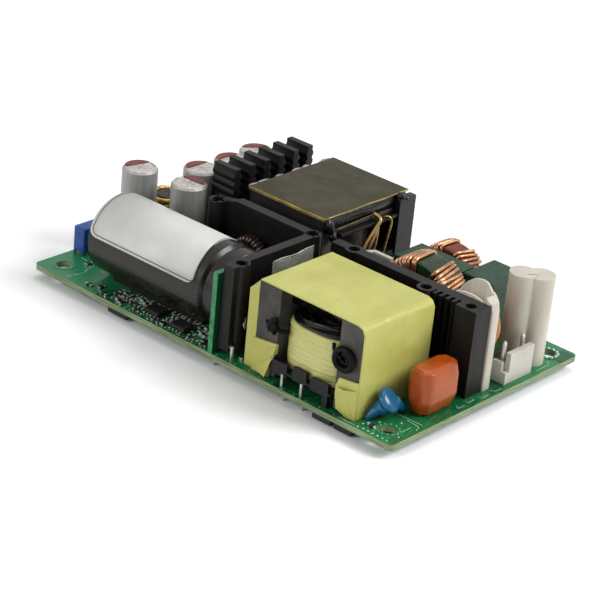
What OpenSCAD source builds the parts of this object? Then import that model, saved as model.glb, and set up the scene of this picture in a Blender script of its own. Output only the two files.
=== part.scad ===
// Open frame power supply: a 5 x 3 inch circuit board carrying its parts in the open.
// X runs along the long edge, Y across it, Z up. The origin is the centre of the four
// mounting holes on the underside of the board.

/* [Board] */
// Board length along X in mm
board_length = 127; // [126:0.5:129]
// Board width along Y in mm
board_width = 76.2; // [75.8:0.1:78]
// Board thickness in mm
board_t = 1.6; // [1.2:0.1:2.4]
// Corner radius of the board in mm
corner_r = 1.5; // [0.5:0.1:2.5]
// Distance from a mounting hole's centre to both nearby board edges in mm
hole_inset = 5.715; // [5.4:0.005:6.2]
// Mounting hole diameter in mm
hole_d = 4; // [3.2:0.1:4.2]
// Outside diameter of the tinned land around a mounting hole in mm
land_d = 6.6; // [6.2:0.1:6.9]
// Thickness of a tinned land in mm
land_t = 0.12; // [0.08:0.01:0.2]
// Length of the cut lead ends below the board in mm
tip_h = 2.5; // [2.2:0.1:3]

/* [Bulk capacitor] */
// Diameter of the lying bulk capacitor in mm
bulk_d = 22.4; // [21.6:0.1:22.6]
// Length of the lying bulk capacitor in mm
bulk_l = 48.6; // [46:0.1:49]
// Label thickness in mm
label_t = 0.12; // [0.08:0.01:0.2]
// Label length along the can in mm
label_l = 36; // [30:0.5:38]

/* [Output capacitors] */
// Diameter of an output capacitor in mm
can_d = 10; // [9:0.1:10.4]
// Height of an output capacitor in mm
can_h = 22.4; // [20:0.1:24]

/* [Heatsinks] */
// Top height of the corner heatsink above the board in mm
sink_a_h = 25; // [23:0.1:27]
// Wall thickness of the corner heatsink in mm
sink_a_t = 2.7; // [2:0.1:3]
// Top height of the input heatsink above the board in mm
sink_b_h = 23.8; // [22:0.1:25]
// Screw channel diameter in the heatsinks in mm
screw_bore = 2.9; // [2.6:0.1:3.1]
// Wall around a screw channel in mm
boss_wall = 1; // [0.8:0.05:1.1]
// Fin height of the serrated heatsink in mm
fin_h = 17.6; // [15:0.1:19]
// Fin pitch of the serrated heatsink in mm
fin_pitch = 5.85; // [5.5:0.05:5.95]
// Fin thickness over the serrations in mm
fin_t = 2.9; // [2.4:0.1:3.2]
// Depth of one serration in mm
serration = 0.45; // [0.2:0.05:0.6]

/* [Main transformer] */
// Core size along X in mm
tx_x = 26.6; // [25.4:0.1:26.8]
// Core size along Y in mm
tx_y = 33.6; // [32.4:0.1:34]
// Core height in mm
tx_h = 21.6; // [20.6:0.1:22]
// Core plate thickness in mm
tx_plate = 5; // [4:0.1:5.6]
// Thickness of the cover sheet on the core in mm
tape_t = 0.5; // [0.3:0.05:0.6]

/* [Boost choke] */
// Core size along X in mm
bc_x = 34; // [33:0.1:34.2]
// Core size along Y in mm
bc_y = 26.4; // [25:0.1:27]
// Core height in mm
bc_h = 24.2; // [23.8:0.1:24.6]
// Core leg width in mm
bc_leg = 7.2; // [6.5:0.1:7.4]
// Coil radius in mm
bc_coil_r = 10.4; // [9.6:0.1:10.6]

/* [Input chokes] */
// Outside radius of the green common mode core in mm
cm_r = 10.3; // [9.8:0.1:10.4]
// Bore radius of the green common mode core in mm
cm_ri = 5.4; // [5.2:0.1:6]
// Thickness of the green common mode core in mm
cm_t = 8; // [7.4:0.1:8.2]
// Outside radius of the red choke core in mm
dm_r = 8.3; // [7.9:0.1:8.4]
// Bore radius of the red choke core in mm
dm_ri = 4.6; // [4.4:0.1:5]
// Thickness of the red choke core in mm
dm_t = 6; // [5.4:0.1:6.2]
// Winding wire thickness in mm
wire = 0.9; // [0.7:0.05:0.95]
// Turns in each half of the common mode winding
cm_turns = 8; // [6:1:8]
// Turns in each half of the red choke winding
dm_turns = 6; // [5:1:6]

/* [Box capacitors] */
// Height of the green box capacitors in mm
xcap_h = 17.4; // [15:0.1:18.5]
// Length of the long green box capacitor in mm
xcap_l = 18.2; // [17:0.1:18.6]
// Depth of the green box capacitors in mm
xcap_w = 11.6; // [10.4:0.1:11.7]

/* [Small parts] */
// Height of the white fuse sleeve in mm
fuse_h = 25.2; // [23:0.1:26.5]
// Height of the white thermistor sleeve in mm
ntc_h = 27; // [25:0.1:27.6]
// Varistor radius in mm
mov_r = 6.7; // [6:0.1:6.8]
// Height of the input header wall in mm
header_h = 8.4; // [7.8:0.1:9]
// Height of the dipped film capacitor in mm
film_h = 11.6; // [10:0.1:13]
// Radius of the blue disc capacitor in mm
disc_r = 4.4; // [4:0.1:4.6]
// Height of the upright control board in mm
ctrl_h = 22.4; // [20:0.1:23]
// Thickness of the upright control board in mm
ctrl_t = 1.6; // [1.2:0.1:1.7]

/* [Hidden] */
$fn = 48;
bt = board_t;
hole_dx = board_length - 2 * hole_inset;
hole_dy = board_width - 2 * hole_inset;
west = -board_length / 2;
bulk_r = bulk_d / 2;
bulk_x0 = 1 - bulk_l;
bulk_y = -23.3;
bulk_z = bt + 0.3 + bulk_r;
sa_x = 4.2;
sa_gap = 1.7;
sa_top = bt + sink_a_h;
sb_top = bt + sink_b_h;
boss_r = screw_bore / 2 + boss_wall;
tx_c = [-10.5, 19.3];
tx_leg = 5.2;
tx_gap = tx_y / 2 - tx_leg - 0.2;
tx_side = tx_x / 2 + 0.1;
tx_z0 = bt + 4.4;
tx_z1 = tx_z0 + tx_h;
bc_c = [32.6, -22.2];
bc_z0 = bt + 0.4;
bc_z1 = bc_z0 + bc_h;
bc_za = bc_z0 + 3;
bc_zb = bc_z1 - 4.4;
bc_coil_z1 = bc_z1 - 7.8;
cm_c = [31.4, 11.3];
cm_base = 1.8;
cm_z = bt + cm_base + wire + cm_r;
dm_c = [23.6, 32.6];
dm_z = bt + 0.6 + wire + dm_r;
can_at = [[-57.8, -5.4], [-41.9, -2.3], [-47.5, 8.1], [-46.8, 19.5], [-47.4, 30.4]];
gold = [0.72, 0.55, 0.28];

// box from two corners
module bx(a, b) { translate(a) cube(b - a); }
// upright cylinder between two heights
module cz(x, y, r, z0, z1, f = 48) { translate([x, y, z0]) cylinder(r = r, h = z1 - z0, $fn = f); }
// straight round wire from a to b
module seg(a, b, r) {
    d = b - a;
    translate(a) rotate([0, acos(d[2] / norm(d)), atan2(d[1], d[0])])
        cylinder(r = r, h = norm(d), $fn = 16);
}
// a wire through a list of points, with slightly larger ball joints
module run(p, r) {
    for (i = [0 : len(p) - 2]) seg(p[i], p[i + 1], r);
    for (i = [1 : len(p) - 2]) translate(p[i]) sphere(r = r * 1.16, $fn = 16);
}
// rounded-corner slab drawn with four cylinders
module slab(x0, y0, x1, y1, z0, z1, r) {
    bx([x0 + r, y0, z0], [x1 - r, y1, z1]);
    bx([x0, y0 + r, z0], [x1, y1 - r, z1]);
    for (x = [x0 + r, x1 - r]) for (y = [y0 + r, y1 - r]) cz(x, y, r, z0, z1);
}

module pcb() color([0.06, 0.42, 0.24]) difference() {
    slab(-board_length / 2, -board_width / 2, board_length / 2, board_width / 2, 0, bt, corner_r);
    for (x = [-1, 1]) for (y = [-1, 1])
        cz(x * hole_dx / 2, y * hole_dy / 2, hole_d / 2, -1, bt + 1, 64);
}

// tinned rings around the holes, those at the input end ringed by solder dots
module hole_lands() color([0.78, 0.78, 0.74]) for (x = [-1, 1]) for (y = [-1, 1])
    translate([x * hole_dx / 2, y * hole_dy / 2, bt]) {
        difference() {
            cylinder(d = land_d, h = land_t);
            translate([0, 0, -1]) cylinder(d = hole_d + 0.4, h = 3, $fn = 64);
        }
        if (x > 0) for (a = [0 : 30 : 330]) rotate(a) translate([land_d / 2 - 0.6, 0, land_t])
            cylinder(r1 = 0.45, r2 = 0.2, h = 0.25, $fn = 12);
    }

// where leads come through the board: large parts first, then the power devices and plugs
tips = concat(
    [for (x = [-25.5, 4.5]) for (i = [0 : 5]) [x, 7 + i * 4.2]],
    [for (i = [0 : 8]) [2.1 + ctrl_t / 2, -36 + i * 2.54]],
    [for (p = can_at) for (s = [-2.5, 2.5]) [p[0], p[1] + s]],
    [for (y = [-25, -22.5, -20, -12.8, -10.3, -7.8]) [9.2, y]],
    [for (x = [-3.6, -1, 1.6]) [x, -7.9]], [for (x = [22.1, 27.1, 32.1, 36.1]) [x, -4.4]],
    [for (i = [0 : 3]) [-58.3, 14.2 + i * 3.96]],
    [for (x = [26.9, 33.3]) for (y = [-36, -12]) [x, y]],
    [for (s = [-3.75, 3.75]) [1.4, bulk_y + s]], [for (s = [-7, 7]) for (y = [8.6, 15.2]) [cm_c[0] + s, y]],
    [[17.6, 22.4], [32, 22.4], [40.3, 26.4], [40.3, 33], [18.4, 32.6], [28.8, 32.6]],
    [[58.5, 11], [58.5, 18.6], [51, 3.4], [57.5, 3.4], [47.4, 8.5], [52.8, 8.5], [53.9, 21.7], [57.2, 25]],
    [[56.4, -17.4], [56.4, -11.6], [51.6, -33.6], [52.8, -20.9], [5.5, -20], [5.5, -9], [-18, -4.4]],
    [[-6, -4.4], [14, -0.8], [48, -0.8], [-34.6, 6.2], [-34.6, 18], [-34.6, 35.4], [-57.7, 3.4]],
    [[-57.7, 9], [-16, -8.6], [-8.8, -8.6], [west + 2.9, -24], [west + 2.9, -17.6]]);
// cut lead ends with their solder cones, all of one length
module lead_tips() color([0.75, 0.75, 0.72]) for (p = tips) translate([p[0], p[1], -tip_h]) {
    cylinder(r = 0.4, h = tip_h, $fn = 16);
    translate([0, 0, tip_h - 1.2]) cylinder(r1 = 0.4, r2 = 1.1, h = 1.2, $fn = 16);
}

chips = [[-44.2, -35.6, 0], [-41.2, -34.2, 90], [-37.8, -36.2, 0], [-35.2, -33.6, 0], [-31.6, -36.0, 90],
    [-28.6, -34.4, 0], [-25.4, -36.3, 0], [-18.0, -36.6, 0], [-15.6, -36.0, 90], [-5.4, -36.2, 0],
    [-2.2, -34.6, 90], [-0.6, -36.6, 0], [10.6, -33.6, 90], [54.4, -34.4, 0], [56.6, -6.7, 90],
    [-54, -27.0, 90]];
// small resistors and capacitors, and two flat chips, along the front edge
module smd_top() color([0.09, 0.09, 0.1]) {
    for (c = chips) translate([c[0], c[1], bt]) rotate(c[2])
        translate([-0.7, -0.65, 0]) cube([1.4, 1.3, 0.6]);
    bx([-24, -35, bt], [-19, -31, bt + 1.4]);
    bx([-13.5, -36, bt], [-8.5, -32, bt + 1.4]);
}
module smd_terminals() color([0.8, 0.8, 0.78]) {
    for (c = chips) translate([c[0], c[1], bt]) rotate(c[2]) for (s = [-1.1, 0.7])
        translate([s, -0.65, 0]) cube([0.4, 1.3, 0.62]);
    for (i = [0 : 3]) {
        bx([-23.6 + i * 1.27, -35.8, bt], [-23.2 + i * 1.27, -35, bt + 0.5]);
        bx([-13.1 + i * 1.27, -36.8, bt], [-12.7 + i * 1.27, -36, bt + 0.5]);
    }
}
// flat parts soldered under the front edge
module smd_underside() color([0.08, 0.08, 0.09]) {
    bx([-45.6, -37.4, -0.7], [-41.2, -34.6, 0]);
    bx([-35, -37.4, -1.8], [-28, -33, 0]);
    bx([37.6, -37.2, -2.1], [43.6, -33.2, 0]);
    bx([44.6, -37.2, -2.1], [50.2, -33.2, 0]);
}

// sleeved can lying along X with its crimp groove near the lead end
module bulk_capacitor() color([0.2, 0.18, 0.17]) translate([bulk_x0, bulk_y, bulk_z])
    rotate([0, 90, 0]) rotate_extrude($fn = 96) polygon([[0, 0.4], [bulk_r - 2.2, 0.4],
        [bulk_r - 1.8, 0], [bulk_r - 0.8, 0], [bulk_r, 0.8], [bulk_r, bulk_l - 7],
        [bulk_r - 1, bulk_l - 6.2], [bulk_r - 1, bulk_l - 5.2], [bulk_r - 0.2, bulk_l - 4.4],
        [bulk_r - 0.2, bulk_l - 0.8], [bulk_r - 1, bulk_l], [bulk_r - 2.2, bulk_l],
        [bulk_r - 2.6, bulk_l - 0.5], [0, bulk_l - 0.5]]);

// bare pale label wrapped over the top and front of the can
module bulk_label() color([0.86, 0.86, 0.85]) intersection() {
    translate([bulk_x0 + 0.9, bulk_y, bulk_z]) rotate([0, 90, 0]) difference() {
        cylinder(r = bulk_r + label_t, h = label_l, $fn = 96);
        translate([0, 0, -1]) cylinder(r = bulk_r, h = label_l + 2, $fn = 96);
    }
    translate([bulk_x0, bulk_y, bulk_z + 1.6]) rotate([-6, 0, 0])
        translate([0, -bulk_r - 1, 0]) cube([bulk_l, 2 * bulk_r + 2, bulk_r + 4]);
}
module bulk_adhesive() color([0.8, 0.79, 0.75]) difference() {
    bx([bulk_x0 + 5, bulk_y - 5, bt], [-9, bulk_y + 5, bt + 2]);
    translate([bulk_x0 - 1, bulk_y, bulk_z]) rotate([0, 90, 0]) cylinder(r = bulk_r, h = bulk_l, $fn = 96);
}
module bulk_leads() color([0.78, 0.78, 0.76]) for (s = [-1, 1]) {
    bx([0.5, bulk_y + s * 3.75 - 0.4, bulk_z - 0.4], [1.8, bulk_y + s * 3.75 + 0.4, bulk_z + 0.4]);
    bx([1.1, bulk_y + s * 3.75 - 0.4, bt], [1.8, bulk_y + s * 3.75 + 0.4, bulk_z - 0.4]);
}

// upright cans with a crimped foot and a scored lid
module output_capacitors() color([0.72, 0.72, 0.73]) for (p = can_at) translate([p[0], p[1], bt])
    difference() {
        rotate_extrude($fn = 64) polygon([[0, 0], [can_d / 2 - 0.4, 0], [can_d / 2 - 0.1, 0.4],
            [can_d / 2 - 0.1, 1.6], [can_d / 2 - 0.6, 2.1], [can_d / 2 - 0.6, 2.5],
            [can_d / 2, 3.1], [can_d / 2, can_h - 0.7], [can_d / 2 - 0.5, can_h - 0.1],
            [can_d / 2 - 0.9, can_h], [can_d / 2 - 1.1, can_h - 0.25], [0, can_h - 0.25]]);
        for (a = [0, 60, 120]) rotate(a) translate([-2.6, -0.1, can_h - 0.4]) cube([5.2, 0.2, 1]);
    }

module box_film_capacitor() color([0.12, 0.3, 0.62]) {
    bx([west + 0.9, -24.6, bt + 0.9], [west + 5, -17.2, bt + 8]);
    for (x = [west + 0.9, west + 4.2]) for (y = [-24.6, -18])
        bx([x, y, bt], [x + 0.8, y + 0.8, bt + 0.9]);
}

// upright circuit board between the bulk capacitor and the corner heatsink
module control_board() color([0.08, 0.45, 0.25]) bx([2.1, -38, bt], [2.1 + ctrl_t, -12, bt + ctrl_h]);

// L-shaped extrusion with three screw channels
module heatsink_corner() color([0.1, 0.1, 0.1]) difference() {
    union() {
        bx([sa_x, -36.6, bt + sa_gap], [sa_x + sink_a_t, -3, sa_top]);
        bx([sa_x, -36.6, bt + sa_gap], [sa_x + 3.5, -34, sa_top]);
        bx([-21.5, -5.8, bt + sa_gap], [sa_x + sink_a_t, -5.8 + sink_a_t + 0.3, sa_top]);
        cz(sa_x + 2.2, -32.7, boss_r, bt + sa_gap, sa_top);
        cz(sa_x + 0.9, -4.6, boss_r, bt + sa_gap, sa_top);
        cz(-25.2, -8.6, boss_r, bt + sa_gap, sa_top);
        translate([-24.4, -7, bt + sa_gap]) rotate(32) translate([0, -1.1, 0])
            cube([4.6, 2.2, sa_top - bt - sa_gap]);
    }
    for (p = [[sa_x + 2.2, -32.7], [sa_x + 0.9, -4.6], [-25.2, -8.6]])
        cz(p[0], p[1], screw_bore / 2, 0, sa_top + 1);
    bx([sa_x - 3, -36, 0], [sa_x, -28, sa_top + 1]);
}

function saw(x, z0, n, s, d) = [for (i = [0 : n - 1]) each [[x, z0 + i * d], [x + s, z0 + (i + 0.25) * d],
    [x + s, z0 + (i + 0.6) * d], [x, z0 + (i + 0.85) * d]]];
function rev(v) = [for (i = [len(v) - 1 : -1 : 0]) v[i]];
// comb of six serrated fins, extruded along X
module heatsink_fins() color([0.09, 0.09, 0.09]) {
    zb = bt + 10.8;
    rib = (fin_h - 1) / 7;
    translate([-38.5, -1.9, 0]) rotate([90, 0, 90]) linear_extrude(8.2) union() {
        translate([4.8, zb - 3]) square([5 * fin_pitch + fin_t, 3]);
        for (i = [0, 2, 3, 5]) translate([4.8 + i * fin_pitch, bt]) square([fin_t, zb - bt]);
        for (i = [0 : 5]) translate([4.8 + i * fin_pitch, 0]) polygon(concat(
            [[serration, zb - 0.5]], rev(rev(saw(serration, zb, 7, -serration, rib))),
            [[serration, zb + fin_h], [fin_t - serration, zb + fin_h]],
            rev(saw(fin_t - serration, zb, 7, serration, rib)), [[fin_t - serration, zb - 0.5]]));
    }
}

// straight extrusion with two screw channels, front flutes and a square end
module heatsink_input() color([0.1, 0.1, 0.1]) difference() {
    union() {
        bx([9.8, -2.4, bt], [53.4, 0.8, sb_top]);
        bx([53.2, -5.3, bt], [59.8, 0.9, sb_top]);
        for (x = [45.4, 47.4, 49.4, 51.4]) bx([x, -4.6, bt], [x + 0.9, -2.4, sb_top]);
        cz(16.4, -0.9, boss_r, bt, sb_top);
        cz(42.4, -3.4, boss_r, bt, sb_top);
        bx([40, -2.6, bt], [44.8, -2.2, sb_top]);
    }
    for (p = [[16.4, -0.9], [42.4, -3.4], [56.4, -3]]) cz(p[0], p[1], screw_bore / 2, bt + 2, sb_top + 1);
}

module heatsink_pins() color([0.8, 0.8, 0.76]) {
    for (p = [[sa_x + 1.3, -20], [sa_x + 1.3, -9], [-18, -4.4], [-6, -4.4]])
        cz(p[0], p[1], 0.75, bt, bt + sa_gap, 24);
    cz(sa_x + 4.2, -35.6, 0.6, bt, bt + 3.4, 24);
    bx([sa_x + 3.5, -36.1, bt + 2.4], [sa_x + 4.2, -35.1, bt + 3.4]);
}

// flat power devices clamped to the corner heatsink
module power_transistors() color([0.11, 0.11, 0.12]) {
    for (y = [-27.6, -15.4]) {
        bx([sa_x + sink_a_t, y, bt + 3.2], [sa_x + sink_a_t + 4.4, y + 10, bt + 18.4]);
        for (k = [2.2, 4.7, 7.2]) bx([sa_x + sink_a_t + 2, y + k, bt], [sa_x + sink_a_t + 2.6, y + k + 0.8, bt + 3.2]);
    }
    bx([-5.4, -10.2, bt + 3.2], [3.4, -5.8, bt + 18.4]);
    for (k = [-4, -1.4, 1.2]) bx([k, -8.2, bt], [k + 0.8, -7.6, bt + 3.2]);
}
module bridge_rectifier() color([0.1, 0.1, 0.11]) {
    bx([19.6, -6.2, bt + 3], [38.4, -2.4, bt + 18]);
    for (x = [21.6, 26.6, 31.6, 35.6]) bx([x, -4.8, bt], [x + 1, -4, bt + 3]);
}
// thin grey film standing between the transistors and the boost choke
module insulator_film() color([0.66, 0.68, 0.66, 0.6]) bx([11.5, -26.8, bt], [11.9, -11.6, bt + 26]);
module white_insulator() color([0.9, 0.9, 0.87]) {
    bx([19.6, 3, bt], [25.4, 4.2, bt + 23.2]);
    cz(19.6, 3.6, 0.6, bt, bt + 23.2);
    translate([19.6, 3.6, bt]) rotate(-120) translate([0, -0.6, 0]) cube([2.6, 1.2, 23.2]);
}

// ferrite core with a leg at each end and a round centre post
module transformer_core() color([0.24, 0.23, 0.22]) translate([tx_c[0], tx_c[1], 0]) {
    for (z = [tx_z0, tx_z1 - tx_plate])
        bx([-tx_x / 2, -tx_y / 2, z], [tx_x / 2, tx_y / 2, z + tx_plate]);
    for (y = [-tx_y / 2, tx_y / 2 - tx_leg]) bx([-tx_x / 2, y, tx_z0], [tx_x / 2, y + tx_leg, tx_z1]);
    cz(0, 0, 5.4, tx_z0, tx_z1);
}
// cover sheet on the core, a little larger than it
module transformer_tape() color([0.36, 0.33, 0.22]) translate([tx_c[0], tx_c[1], 0])
    bx([-tx_x / 2 - 0.3, -tx_y / 2 - 0.3, tx_z1], [tx_x / 2 + 0.3, tx_y / 2 + 0.3, tx_z1 + tape_t]);
// flanges, winding tube, pin rails and the tall end wall
module transformer_bobbin() color([0.08, 0.08, 0.09]) translate([tx_c[0], tx_c[1], 0]) {
    za = tx_z0 + tx_plate;
    zb = tx_z1 - tx_plate;
    g = tx_gap;
    difference() {
        union() {
            bx([-15.6, -g, za], [15.2, g, za + 1]);
            bx([-15.6, -g, zb - 1], [15.2, g, zb]);
            cz(0, 0, 6.4, za, zb);
        }
        cz(0, 0, 5.4, za - 1, zb + 1);
    }
    bx([-16.8, -15, bt + 0.8], [-tx_side, 13.6, za]);
    bx([tx_side, -15, bt + 0.8], [17, 11.6, za]);
    bx([-16.8, -g, za], [-15.6, g, zb]);
    bx([tx_side, 11.6, bt + 0.8], [tx_side + 2.3, 18.4, tx_z1 - 0.8]);
    bx([tx_side, g, zb - 1], [15.2, 11.6, zb]);
}
module transformer_winding() color([0.16, 0.13, 0.1]) difference() {
    cz(tx_c[0], tx_c[1], tx_y / 2 - tx_leg, tx_z0 + tx_plate + 1, tx_z1 - tx_plate - 1, 72);
    cz(tx_c[0], tx_c[1], 6.4, tx_z0, tx_z1);
}
// bare wires from the coil down to the pin rail
module transformer_leads() color(gold) {
    za = tx_z0 + tx_plate;
    x = tx_c[0];
    run([[x + 9.4, 25, za + 10.2], [x + 15.9, 23.6, za + 9.4], [x + 16.1, 19.5, za + 5], [x + 16, 15.6, za]], 0.42);
    run([[x + 9.6, 22.6, za + 8], [x + 15.9, 22.4, za + 6.4], [x + 16.3, 18.6, za]], 0.42);
    run([[x + 9.4, 21.6, za + 5], [x + 15.2, 21.8, za + 3.4], [x + 15.8, 21.6, za]], 0.42);
    run([[x + 9.2, 27, za + 8.6], [x + 15.9, 28.2, za + 7.6], [x + 16, 27.6, za + 4], [x + 16, 26.9, za]], 0.42);
}
module transformer_pins() color([0.8, 0.8, 0.76]) for (x = [-15, 15]) for (i = [0 : 5])
    cz(tx_c[0] + x, tx_c[1] - 12.3 + i * 4.2, 0.45, bt, bt + 0.8, 16);

// dabs of adhesive on the main transformer
module glue_dabs() color([0.7, 0.7, 0.66]) {
    z = tx_z1 + tape_t;
    for (p = [[-22.4, 27, 1.5], [-22.2, 29.4, 1.2], [-22.6, 17.4, 1.4], [-22.2, 15.2, 1.1]]) translate([p[0], p[1], z])
        intersection() {
            translate([0, 0, -p[2] * 0.5]) sphere(r = p[2], $fn = 20);
            bx([-4, -4, 0], [4, 4, 4]);
        }
}

// outline of the boost choke core seen from the front, its near top edge eased
module boost_outline() polygon([[-bc_x / 2, bc_z0], [-bc_x / 2, bc_z1], [bc_x / 2 - 2.2, bc_z1],
    [bc_x / 2 - 0.8, bc_z1 - 0.5], [bc_x / 2, bc_z1 - 1.8], [bc_x / 2, bc_z0]]);
// boost choke core: legs hollowed to follow the coil, plates set back between them
module boost_core() color([0.3, 0.3, 0.29]) translate([bc_c[0], bc_c[1], 0]) {
    w = bc_x / 2 - bc_leg;
    y = bc_y / 2;
    difference() {
        translate([0, y, 0]) rotate([90, 0, 0]) linear_extrude(bc_y) boost_outline();
        bx([-w, -y - 1, bc_za], [w, y + 1, bc_zb]);
        cz(0, 0, bc_coil_r + 0.3, bc_za, bc_zb, 72);
        for (z = [bc_z0 - 1, bc_zb - 1]) bx([-w, -y - 1, z], [w, -y + 5, z + 6.5]);
    }
    cz(0, 0, 5, bc_z0, bc_z1);
}
// wide tape wrapped round the choke, open at the front, with folded tails
module boost_tape() color([0.78, 0.78, 0.42]) translate([bc_c[0], bc_c[1], 0]) {
    w = bc_x / 2;
    y = bc_y / 2;
    translate([0, y, 0]) rotate([90, 0, 0]) linear_extrude(bc_y) difference() {
        polygon([[-w - 3.2, bt], [-w - 3.2, bc_z1 - 3.2], [-w + 0.2, bc_z1 + 0.4], [w - 2, bc_z1 + 0.4],
            [w - 0.5, bc_z1 - 0.2], [w + 0.4, bc_z1 - 1.6], [w + 0.4, bt]]);
        boost_outline();
        translate([-w, -1]) square([bc_x, bc_z0 + 2]);
    }
    translate([0, -y, 0]) rotate([90, 0, 0]) {
        linear_extrude(0.6) polygon([[-w - 0.2, bt], [-w - 0.2, 10.6], [-9.1, 11.6], [-9.3, 9], [-11.5, 6.8], [-11.4, bt]]);
        linear_extrude(0.6) polygon([[11.3, 11.1], [w + 0.2, 11.8], [w + 0.2, bt], [14, bt], [11.1, 2.6], [10.4, 6.1], [10.4, 8.7]]);
    }
}
module boost_bobbin() color([0.13, 0.13, 0.14]) translate([bc_c[0], bc_c[1], 0]) {
    w = bc_x / 2 - bc_leg - 0.4;
    y = -bc_y / 2;
    difference() {
        union() {
            cz(0, 0, bc_coil_r, bc_za, bc_za + 0.6);
            cz(0, 0, bc_coil_r, bc_coil_z1, bc_coil_z1 + 0.8);
            cz(0, 0, 6, bc_za, bc_zb);
            bx([-w, y - 1.2, bc_za], [w, -6, bc_za + 0.6]);
        }
        cz(0, 0, 5, bc_za - 1, bc_zb + 1);
    }
    bx([-10.3, y - 1.2, 4], [-4.9, y, 7.8]);
    bx([-3.2, y - 1.2, 4.6], [1.5, y, 8.2]);
    bx([2.8, y - 1.2, 4.4], [8.7, y, 7.8]);
    bx([7, y - 1.2, bt], [8.7, y, 4.4]);
}
module boost_winding() color([0.82, 0.81, 0.5]) difference() {
    cz(bc_c[0], bc_c[1], bc_coil_r, bc_za + 0.6, bc_coil_z1, 72);
    cz(bc_c[0], bc_c[1], 6, bc_z0, bc_z1);
}
module boost_pins() color([0.82, 0.82, 0.78]) for (x = [-6, 0.4])
    bx([bc_c[0] + x, bc_c[1] - bc_y / 2 - 1.9, bt], [bc_c[0] + x + 0.7, bc_c[1] - bc_y / 2 - 1.2, 5.2]);
module boost_knots() color([0.12, 0.12, 0.13]) for (p = [[-9.8, 16.5, 2.4], [12.3, 16.5, 3.5]])
    intersection() {
        translate([bc_c[0] + p[0], bc_c[1] - bc_y / 2 + 0.6, p[1]]) sphere(r = p[2], $fn = 24);
        bx([0, bc_c[1] - bc_y / 2 - 5, 0], [60, bc_c[1] - bc_y / 2, 30]);
    }

// ring core standing on edge, axis along Y
module ring(c, z, r, ri, t) translate([c[0], c[1] + t / 2, z]) rotate([90, 0, 0]) difference() {
    cylinder(r = r, h = t, $fn = 72);
    translate([0, 0, -1]) cylinder(r = ri, h = t + 2, $fn = 72);
}
// one turn of wire round the section of a ring core
module turn(r, ri, t, w) rotate([90, 0, 0]) translate([0, 0, -w / 2]) linear_extrude(w) difference() {
    union() {
        translate([ri - w - 0.05, -t / 2]) square([r - ri + 2 * w + 0.05, t]);
        translate([ri - 0.05, -t / 2 - w]) square([r - ri + 0.05, t + 2 * w]);
        for (x = [ri - 0.05, r]) for (y = [-t / 2, t / 2]) translate([x, y]) circle(r = w, $fn = 24);
    }
    translate([ri - 0.05, -t / 2]) square([r - ri + 0.05, t]);
}
// turns every step degrees on each side of the ring
module half_windings(c, z, r, ri, t, w, n, step, first) translate([c[0], c[1], z])
    for (s = [0, 1]) for (i = [0 : n - 1])
        rotate([0, -(s ? first + i * step : 180 - first - i * step), 0]) rotate([90, 0, 0]) turn(r, ri, t, w);

module cm_choke_core() color([0.16, 0.4, 0.25]) ring(cm_c, cm_z, cm_r, cm_ri, cm_t);
module cm_choke_winding() color(gold) half_windings(cm_c, cm_z, cm_r, cm_ri, cm_t, wire, cm_turns, 13, -22);
module cm_choke_base() color([0.1, 0.22, 0.16]) {
    bx([cm_c[0] - 9.6, cm_c[1] - 5.2, bt], [cm_c[0] + 9.6, cm_c[1] + 5, bt + cm_base]);
    bx([cm_c[0] - 2, cm_c[1] - cm_t / 2, bt + cm_base], [cm_c[0] + 2, cm_c[1] + cm_t / 2, bt + cm_base + 1.1]);
}
module dm_choke_core() color([0.42, 0.16, 0.12]) ring(dm_c, dm_z, dm_r, dm_ri, dm_t);
module dm_choke_winding() color(gold) half_windings(dm_c, dm_z, dm_r, dm_ri, dm_t, wire, dm_turns, 15, -14);
module dm_choke_base() color([0.12, 0.12, 0.12])
    bx([dm_c[0] - 2, dm_c[1] - dm_t / 2, bt], [dm_c[0] + 2, dm_c[1] + dm_t / 2, bt + 1.7]);

// green box capacitors
module x_capacitors() color([0.14, 0.33, 0.23]) {
    bx([34 - xcap_l, 16.7, bt], [34, 16.7 + xcap_w, bt + xcap_h]);
    bx([34.6, 22.6, bt], [44.4, 24.4 + xcap_w, bt + xcap_h]);
}

// flattened white sleeve with a rounded top
module thermistor_sleeve() color([0.88, 0.87, 0.84]) intersection() {
    translate([0, 0, bt]) linear_extrude(ntc_h + 2)
        polygon([[47.4, 1.3], [60.2, 1.3], [60.2, 4], [57.6, 5.2], [54, 6.4], [50, 6], [47.4, 4.4]]);
    translate([0, 10, 0]) rotate([90, 0, 0]) linear_extrude(12) {
        translate([52.6, bt + ntc_h - 5.2]) circle(r = 5.2, $fn = 64);
        polygon([[47.4, bt], [60.2, bt], [60.2, bt + ntc_h - 5], [59.4, bt + ntc_h - 3], [58, bt + ntc_h - 1.8],
            [56.8, bt + ntc_h - 1.4], [52.6, bt + ntc_h - 1.6], [48.4, bt + ntc_h - 2.2], [47.4, bt + ntc_h - 5]]);
    }
}
// amber disc varistor standing on two leads
module varistor() color([0.62, 0.36, 0.08]) {
    translate([50, 9.9, bt + 13.4]) rotate([90, 0, 0]) cylinder(r = mov_r, h = 2.8, $fn = 64);
    for (x = [47, 52.4]) bx([x, 8.1, bt], [x + 0.8, 8.9, bt + 9]);
}
// two-lobed white sleeve, pinched at the top
module fuse_sleeve() color([0.84, 0.83, 0.8]) difference() {
    union() {
        cz(53.9, 21.7, 3.7, bt, bt + fuse_h);
        cz(57.2, 25, 3.7, bt, bt + fuse_h - 0.4);
        translate([53.9, 21.7, bt]) rotate(45) translate([0, -3, 0]) cube([4.6, 6, fuse_h - 0.6]);
    }
    translate([55.8, 21.6, bt + fuse_h - 3]) rotate(45) translate([-0.4, -0.3, 0]) cube([2.6, 0.5, 4]);
}

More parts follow.
